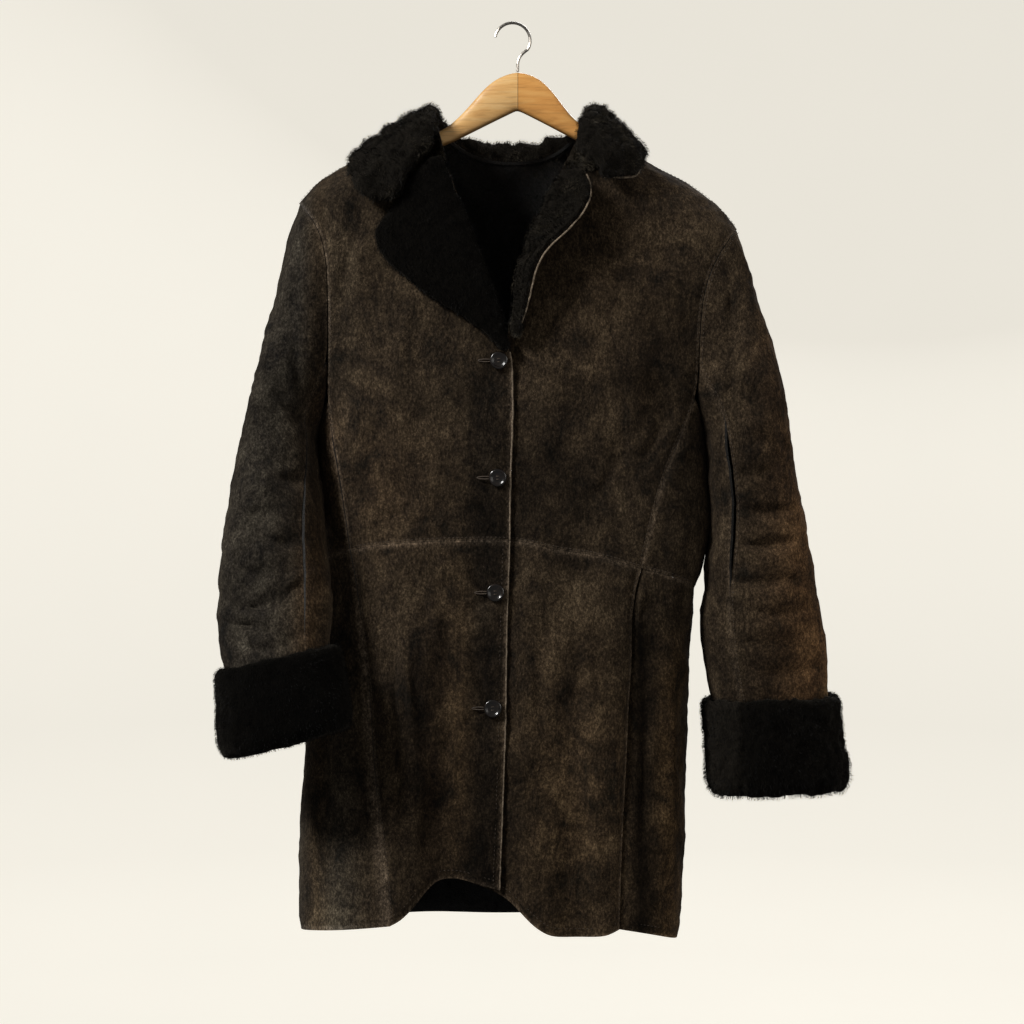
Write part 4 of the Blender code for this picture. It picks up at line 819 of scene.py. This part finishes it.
# Fur pieces: hairs, their length, how light they are, how far their tufts rise, the way they are
# combed, and width, length and area of the cut that shows
FUR = {
    "collar": (44000, 0.0056, 0.6, 0.0024, (0.0, -0.2, -0.8), 0.11, 0.52, 0.05),
    "lapel_L": (14000, 0.0036, 0.2, 0.0006, (-0.2, -0.1, -0.9), 0.12, 0.21, 0.015),
    "lapel_R": (13000, 0.0046, 0.66, 0.0014, (0.2, -0.2, -0.8), 0.06, 0.2, 0.008),
    "cuff_L": (18000, 0.0034, 0.12, 0.0008, (0.1, -0.1, -0.9), 0.12, 0.31, 0.034),
    "cuff_R": (24000, 0.0042, 0.24, 0.0016, (0.1, -0.1, -0.9), 0.12, 0.34, 0.04),
}
FUR_VOXEL = 0.0026
FUR_SOFTENING = 3
FUR_PUFF = 0.0002
CUFF_SEAM_X = 0.236
CUFF_SEAM_WIDTH = 0.0035
CUFF_SEAM_DEPTH = 0.0022
CUFF_LIGHTER_CORE = 2.0
CUFF_LIGHTER_HAIR = 0.16
CUFF_SHAG = 0.5
CORE_TONE = 0.3
HAIR_HALF_WIDTH = (0.00011, 0.00022)


def hair_mesh(name, roots, normals, lengths, comb, tone, seed):
    """Tapering hairs that start along the surface's normal and bend over the way they are combed."""
    random = np.random.default_rng(seed)
    count = len(roots)
    swirl = np.stack([waves(roots, 0.034, seed + 1 + axis) for axis in range(3)], axis=1)
    tuft = np.stack([waves(roots, 0.012, seed + 4 + axis) for axis in range(3)], axis=1)
    lean = np.asarray(comb) + 0.5 * swirl + 0.5 * tuft + 0.22 * random.normal(size=(count, 3))
    lean = lean - normals * np.sum(lean * normals, axis=1, keepdims=True)
    uneven = 0.85 + 0.14 * waves(roots, 0.016, seed + 7) + random.uniform(-0.2, 0.2, count)
    size = (lengths * uneven)[:, None]
    first = unit(normals + 0.4 * lean)
    second = unit(normals * 0.5 + 1.05 * lean + 0.12 * random.normal(size=(count, 3)))
    across = unit(np.cross(second, random.normal(size=(count, 3))))
    half = random.uniform(*HAIR_HALF_WIDTH, count)[:, None]
    middle = roots + first * size * 0.5
    tip = middle + second * size * 0.5
    points = np.stack([roots - across * half, roots + across * half, middle + across * half * 0.8,
                       middle - across * half * 0.8, tip], axis=1).reshape(-1, 3)
    bases = 5 * np.arange(count)[:, None]
    quads = bases + np.array([0, 1, 2, 3])
    tips = bases + np.array([3, 2, 4])
    obj = add_mesh(name, points, quads.tolist() + tips.tolist(), (HAIR,))
    shade = tone * (1 + 0.55 * waves(roots, 0.02, seed + 8) + 0.35 * waves(roots, 0.05, seed + 9))
    shade = np.clip(shade + random.normal(0.0, 0.1, count), 0.02, 1.0)
    # Hairs darker at the root and lighter at the tip: painted shade down in the pile and painted sheen on the
    # tips.
    along = np.array([0.15, 0.15, 0.6, 0.6, 1.0])
    set_attribute(obj, "tone", (shade[:, None] * along).ravel())
    return obj


def scatter(points, faces, normals, count, seed, keep=None):
    """Places spread evenly over the faces, or over those that keep gives a share, with their normals."""
    random = np.random.default_rng(seed)
    triangles = np.array([(face[0], face[k], face[k + 1]) for face in faces for k in range(1, len(face) - 1)])
    a, b, c = points[triangles[:, 0]], points[triangles[:, 1]], points[triangles[:, 2]]
    areas = np.linalg.norm(np.cross(b - a, c - a), axis=1)
    if keep is not None:
        areas = areas * keep((a + b + c) / 3)
    chosen = random.choice(len(triangles), count, p=areas / areas.sum())
    u, v = random.uniform(size=(2, count, 1))
    flip = (u + v) > 1
    u, v = np.where(flip, 1 - u, u), np.where(flip, 1 - v, v)
    one, two, three = (points[triangles[chosen, k]] for k in range(3))
    facing = unit(normals[triangles[chosen]].mean(axis=1))
    return one + u * (two - one) + v * (three - one), facing


def beside_cuff_seam(points):
    return smoothstep(CUFF_SEAM_X + 0.004, CUFF_SEAM_X - 0.01, points[:, 0])


def make_fur(name, seed):
    hairs, length, tone, relief, comb, _, _, _ = FUR[name]
    obj = temporary(welded(name))
    remesh = obj.modifiers.new("remesh", "REMESH")
    remesh.mode = "VOXEL"
    remesh.voxel_size = FUR_VOXEL
    soften = obj.modifiers.new("soften", "SMOOTH")
    soften.factor = 0.5
    soften.iterations = FUR_SOFTENING
    points, faces, normals = evaluated_copy(obj)
    out = FUR_PUFF + relief * (0.7 * waves(points, 0.026, seed) + 0.45 * waves(points, 0.011, seed + 1))
    light = np.full(len(points), tone / CORE_TONE)
    if name == "cuff_R":
        seam = np.exp(-(((points[:, 0] - CUFF_SEAM_X) / CUFF_SEAM_WIDTH) ** 2)) * (normals[:, 1] < 0)
        out = out - CUFF_SEAM_DEPTH * seam
        light = light + CUFF_LIGHTER_CORE * beside_cuff_seam(points)
    points = points + normals * out[:, None]
    core = add_mesh(name + "_core", points, faces, (FUR_CORE,))
    shades = np.stack([light, light, light, np.ones_like(light)], axis=1)
    set_attribute(core, "shade", shades, "FLOAT_COLOR")
    place(core, name)
    roots, facing = scatter(points, faces, normals, hairs, seed)
    tones = np.full(hairs, tone)
    lengths = np.full(hairs, length)
    if name == "cuff_R":
        tones = tones + CUFF_LIGHTER_HAIR * beside_cuff_seam(roots)
        lengths = lengths * (1 + CUFF_SHAG * smoothstep(-0.77, -0.8, roots[:, 2]))
    hair = hair_mesh(name + "_hair", roots, facing, lengths, comb, tones, seed + 10)
    place(hair, None)
    return core, hair


# Longer wool where it can be seen: panel, 1 outside or -1 inside, hairs, length, lightness, the way it
# lies, and the stretch of x and z that has it. At the left front's edge it stands out past the edge.
PILE = (
    ("back_upper", -1, 8000, 0.0075, 0.4, (0.0, 0.0, -0.9), (-0.1, 0.095), (-0.33, -0.12)),
    ("back_upper", 1, 3000, 0.006, 0.5, (0.0, 0.0, -0.6), (-0.085, 0.082), (-0.15, -0.1)),
    ("back_skirt", -1, 4000, 0.007, 0.3, (0.0, 0.0, 0.9), (-0.125, 0.03), (-0.95, -0.88)),
    ("front_upper_L", -1, 2600, 0.0062, 0.36, (1.6, 0.0, -0.3), (-0.012, 0.004), (-0.545, -0.345)),
    ("front_upper_L", 1, 3500, 0.005, 0.45, (0.2, 0.0, -0.8), (-0.092, -0.064), (-0.168, -0.098)),
    ("front_upper_R", -1, 3000, 0.007, 0.3, (0.0, 0.0, -0.9), (-0.03, 0.075), (-0.335, -0.12)),
    ("front_upper_R", 1, 3500, 0.005, 0.55, (0.3, 0.0, -0.8), (0.046, 0.082), (-0.166, -0.094)),
)


PILE_SEED = 900
PILE_HAIR_SEED = 950
PILE_HAIR_SEED_STEP = 20
NECK_PILE_LIGHTER = 0.9


def make_pile(number, panels):
    name, side, hairs, length, tone, comb, (x_low, x_high), (z_low, z_high) = PILE[number]
    _, surface, normals, faces, _ = panels[name]
    places = surface if side > 0 else surface - SHELL_THICKNESS * normals

    def keep(centres):
        in_x = (centres[:, 0] > x_low) & (centres[:, 0] < x_high)
        return (in_x & (centres[:, 2] > z_low) & (centres[:, 2] < z_high)).astype(float)

    roots, facing = scatter(places, faces, side * normals, hairs, PILE_SEED + number, keep)
    tones = tone * (1 + NECK_PILE_LIGHTER * smoothstep(-0.175, -0.145, roots[:, 2]))
    seed = PILE_HAIR_SEED + PILE_HAIR_SEED_STEP * number
    hair = hair_mesh(f"pile_{number + 1}", roots, facing, np.full(hairs, length), comb, tones, seed)
    place(hair, None)
    return name, hair


# ---------------- raw edges


# Where the hide's pale cut edge shows: piece, a place near the edge's middle, radius, how far out and
# back, then the lowest x and the highest z of the stretch that shows
RAW_EDGES = (
    ("front_upper_L", -0.0025, -0.45, 0.00125, 0.0004, 0.001, -1.0, -0.349),
    ("front_skirt_L", -0.0085, -0.73, 0.00105, 0.0004, 0.001, -1.0, 0.0),
    ("lapel_R", 0.04, -0.244, 0.00085, 0.0012, 0.0045, 0.0, -0.172),
    ("lapel_L", -0.08, -0.301, 0.0007, 0.001, 0.0052, -0.145, -0.215),
    ("collar", 0.118, -0.174, 0.001, 0.0012, 0.006, 0.088, -0.15),
)
RAW_EDGE_WOBBLE = 0.00025
RAW_EDGE_SEED = 40
TUBE_SIDES = 7


def band_faces(rows, sides, base=0):
    """The faces between rows of points that each run round once."""
    faces = []
    for row in range(rows - 1):
        for side in range(sides):
            here = base + row * sides + side
            ahead = base + row * sides + (side + 1) % sides
            faces.append((here, ahead, ahead + sides, here + sides))
    return faces


def tube(name, line, radius, material):
    """A thin round cord along a line."""
    line = np.asarray(line, float)
    along = unit(np.gradient(line, axis=0))
    side = unit(np.cross(along, np.array([0.13, 1.0, 0.21])))
    up = unit(np.cross(side, along))
    turns = np.arange(TUBE_SIDES) * 2 * math.pi / TUBE_SIDES
    cosines, sines = np.cos(turns)[None, :, None], np.sin(turns)[None, :, None]
    ring = radius * (cosines * side[:, None] + sines * up[:, None])
    points = (line[:, None] + ring).reshape(-1, 3)
    faces = band_faces(len(line), TUBE_SIDES)
    faces.append(tuple(reversed(range(TUBE_SIDES))))
    faces.append(tuple(range((len(line) - 1) * TUBE_SIDES, len(line) * TUBE_SIDES)))
    return add_mesh(name, points, faces, (material,))


def make_raw_edges(panels):
    for number, (name, x, z, radius, out, back, from_x, below_z) in enumerate(RAW_EDGES, 1):
        if name in panels:
            _, surface, normals, _, loop = panels[name]
        else:
            surface, faces, normals = refined(outer_face(name, BODY_AXIS), 2)
            loop = boundary_loop(faces)
        side = nearest_side(surface, loop, x, z)
        line, facing = surface[side], normals[side]
        outward = -unit(np.cross(facing, unit(np.gradient(line, axis=0))))
        line = line + outward * out - facing * back
        shown = (line[:, 0] > from_x) & (line[:, 2] < below_z)
        line, outward = line[shown], outward[shown]
        wobble = RAW_EDGE_WOBBLE * waves(line, 0.012, RAW_EDGE_SEED + number)
        cord = tube(f"raw_edge_{number}", line + outward * wobble[:, None], radius, RAW_EDGE)
        place(cord, None)


# ---------------- buttons and buttonholes


# From the back's edge over the rim into the dish: radius, height
BUTTON_PROFILE = (
    (0.0066, 0.0),
    (0.0086, 0.0004),
    (0.0092, 0.0014),
    (0.0091, 0.0023),
    (0.0085, 0.0031),
    (0.0077, 0.0034),
    (0.0069, 0.0032),
    (0.0063, 0.0026),
    (0.0056, 0.0021),
    (0.003, 0.0018),
)
BUTTON_SIDES = 40
BUTTON_HOLES = ((-0.0016, -0.0016), (0.0016, -0.0016), (-0.0016, 0.0016), (0.0016, 0.0016))
BUTTON_SHARP = math.radians(40)
THREAD_RADIUS = 0.00024
THREAD_APART = 0.00022
THREAD_HEIGHT = 0.0017
THREAD_ARCH = 0.0006
THREAD_POINTS = 7
THREAD_SIDES = 5
BUTTONHOLE_POINTS = 26
BUTTONHOLE_SIDES = 6
BUTTONHOLE_HALF_WIDTH = 0.0013
BUTTONHOLE_SINK = 0.0002
BUTTONHOLE_CORD = (0.00055, 0.0006)
BUTTONHOLE_LENGTH = 0.015
BUTTONHOLE_FROM_CENTRE = -0.0135


def button_frame(node):
    """Centre of the button's back, and its directions across, up and out, from its solid."""
    points = np.array([vertex.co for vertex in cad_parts[node].data.vertices], float)
    centre = points.mean(axis=0)
    _, _, axes = np.linalg.svd(points - centre, full_matrices=False)
    out = axes[2] * (-1 if axes[2][1] > 0 else 1)
    back = centre + out * ((points - centre) @ out).min()
    right = unit(np.cross(out, np.array([0.0, 0.0, 1.0])))
    right = right * (1 if right[0] > 0 else -1)
    up = unit(np.cross(right, out))
    up = up * (1 if up[2] > 0 else -1)
    return back, right, up, out


def make_button(number):
    node = f"button_{number}"
    back, right, up, out = button_frame(node)
    turns = np.arange(BUTTON_SIDES) * 2 * math.pi / BUTTON_SIDES
    points = []
    for radius, height in BUTTON_PROFILE:
        for turn in turns:
            across = right * radius * math.cos(turn) + up * radius * math.sin(turn)
            points.append(back + out * height + across)
    rows = len(BUTTON_PROFILE)
    faces = band_faces(rows, BUTTON_SIDES)
    faces.append(tuple(reversed(range(BUTTON_SIDES))))
    faces.append(tuple(range((rows - 1) * BUTTON_SIDES, rows * BUTTON_SIDES)))
    obj = add_mesh(node + "_horn", points, faces, (HORN,))
    obj.data.set_sharp_from_angle(angle=BUTTON_SHARP)
    place(obj, node)
    make_button_thread(node + "_thread", back, right, up, out)


def make_button_thread(name, back, right, up, out):
    """Two strands from hole to hole, twice."""
    points, faces = [], []
    for first, second in ((0, 1), (2, 3)):
        start, stop = BUTTON_HOLES[first], BUTTON_HOLES[second]
        for strand in (-THREAD_APART, THREAD_APART):
            faces += band_faces(THREAD_POINTS, THREAD_SIDES, len(points))
            for share in np.linspace(0, 1, THREAD_POINTS):
                x = start[0] + (stop[0] - start[0]) * share
                y = start[1] + (stop[1] - start[1]) * share + strand
                rise = THREAD_HEIGHT + THREAD_ARCH * math.sin(math.pi * share)
                middle = back + right * x + up * y + out * rise
                for turn in range(THREAD_SIDES):
                    angle = turn * 2 * math.pi / THREAD_SIDES
                    step = up * math.cos(angle) + out * math.sin(angle)
                    points.append(middle + THREAD_RADIUS * step)
    thread = add_mesh(name, points, faces, (THREAD,))
    place(thread, None)


def make_buttonhole(number):
    """A slit with a worked rim beside each button."""
    back, right, up, out = button_frame(f"button_{number}")
    middle = back + right * BUTTONHOLE_FROM_CENTRE - out * BUTTONHOLE_SINK
    cord_out, cord_up = BUTTONHOLE_CORD
    points, faces = [], []
    for ring in range(BUTTONHOLE_POINTS):
        turn = ring * 2 * math.pi / BUTTONHOLE_POINTS
        along = right * math.cos(turn) * BUTTONHOLE_LENGTH / 2 + up * math.sin(turn) * BUTTONHOLE_HALF_WIDTH
        outward = unit(right * math.cos(turn) * 0.35 + up * math.sin(turn))
        for bead in range(BUTTONHOLE_SIDES):
            angle = bead * 2 * math.pi / BUTTONHOLE_SIDES
            step = outward * cord_out * math.cos(angle) + out * cord_up * math.sin(angle)
            points.append(middle + along + step)
    for ring in range(BUTTONHOLE_POINTS):
        row, next_row = ring * BUTTONHOLE_SIDES, (ring + 1) % BUTTONHOLE_POINTS * BUTTONHOLE_SIDES
        for bead in range(BUTTONHOLE_SIDES):
            ahead = (bead + 1) % BUTTONHOLE_SIDES
            faces.append((row + bead, row + ahead, next_row + ahead, next_row + bead))
    obj = add_mesh(f"buttonhole_{number}", points, faces, (THREAD,))
    place(obj, None)


# ---------------- hanger


def make_hanger():
    bm = welded("hanger_wood")
    bmesh.ops.join_triangles(bm, faces=bm.faces, angle_face_threshold=math.pi, angle_shape_threshold=math.pi)
    points, faces, normals = refined(bm, 2)
    obj = add_mesh("hanger_wood_body", points, faces, (WOOD,))
    # Painted shade under the hanger: how far each point faces down.
    set_attribute(obj, "painted_underside_shade", np.clip(-normals[:, 2], 0, 1))
    place(obj, "hanger_wood")
    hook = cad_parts["hanger_hook"]
    for slot in hook.material_slots:
        slot.material = STEEL
    hook.data.polygons.foreach_set("use_smooth", [True] * len(hook.data.polygons))


# ---------------- stage, lights and camera


# The ground and the wall that it runs up into: radius, height
STAGE_PROFILE = (
    (0.02, -1.85),
    (2.4, -1.85),
    (2.9, -1.83),
    (3.25, -1.7),
    (3.45, -1.45),
    (3.5, -1.1),
    (3.5, 0.5),
    (3.5, 2.6),
)
STAGE_SIDES = 96
STAGE_COLOUR = (0.84, 0.812, 0.735)
STAGE_GLOW = 0.5


def make_stage():
    """A pale floor that runs up into a round pale wall, so that every view has a plain ground."""
    points = []
    for radius, height in STAGE_PROFILE:
        for side in range(STAGE_SIDES):
            turn = side * 2 * math.pi / STAGE_SIDES
            points.append((radius * math.cos(turn), radius * math.sin(turn), height))
    faces = band_faces(len(STAGE_PROFILE), STAGE_SIDES)
    faces.append(tuple(range(STAGE_SIDES)))
    floor = add_mesh("floor", points, faces, (make_pale("pale_floor", STAGE_COLOUR, STAGE_GLOW),))
    floor.visible_diffuse = False
    floor.visible_glossy = False


# Soft round lamps: name, place, size, power, colour
LIGHTS = (
    ("key", (-2.2, -1.7, 1.5), 0.9, 110.0, (1.0, 0.985, 0.96)),
    ("fill", (2.3, -1.8, 0.0), 1.8, 12.0, (1.0, 0.95, 0.88)),
    ("back", (0.8, 2.6, 1.2), 2.0, 45.0, (1.0, 1.0, 1.0)),
    ("side", (2.8, 0.2, 0.5), 1.2, 24.0, (1.0, 0.93, 0.84)),
)
LIT_PLACE = (0.0, 0.0, -0.5)
WORLD_COLOUR = (0.93, 0.92, 0.9, 1.0)
WORLD_STRENGTH = 0.16


def add_light(name, place_at, size, power, colour):
    data = bpy.data.lights.new(name, "AREA")
    data.shape = "DISK"
    data.size = size
    data.energy = power
    data.color = colour
    light = bpy.data.objects.new(name, data)
    light.location = place_at
    light.rotation_euler = (Vector(LIT_PLACE) - Vector(place_at)).to_track_quat("-Z", "Y").to_euler()
    bpy.context.scene.collection.objects.link(light)


def make_lights():
    for row in LIGHTS:
        add_light(*row)
    world = bpy.data.worlds.new("pale_world")
    world.use_nodes = True
    background = world.node_tree.nodes["Background"]
    background.inputs["Color"].default_value = WORLD_COLOUR
    background.inputs["Strength"].default_value = WORLD_STRENGTH
    bpy.context.scene.world = world


CAMERA_PLACE = (-0.0017, -2.1, -0.5169)
SENSOR_WIDTH = 36.0
METRES_PER_PIXEL = 0.00106
IMAGE_WIDTH = 1024


def make_camera():
    data = bpy.data.cameras.new("camera")
    data.sensor_width = SENSOR_WIDTH
    data.lens = SENSOR_WIDTH * -CAMERA_PLACE[1] / (IMAGE_WIDTH * METRES_PER_PIXEL)
    camera = bpy.data.objects.new("camera", data)
    camera.location = CAMERA_PLACE
    camera.rotation_euler = (math.radians(90), 0.0, 0.0)
    bpy.context.scene.collection.objects.link(camera)
    bpy.context.scene.camera = camera


# ---------------- the whole scene


def main():
    panels = {name: make_panel(name) for name in PANELS}
    pile = [make_pile(number, panels) for number in range(len(PILE))]
    stitch_rows(panels)
    make_raw_edges(panels)
    for number, name in enumerate(FUR):
        core, hair = make_fur(name, 100 * (number + 1))
    for number in range(1, 5):
        make_button(number)
        make_buttonhole(number)
    make_hanger()
    make_stage()
    make_lights()
    make_camera()
    bpy.context.scene.view_settings.view_transform = "Standard"


main()
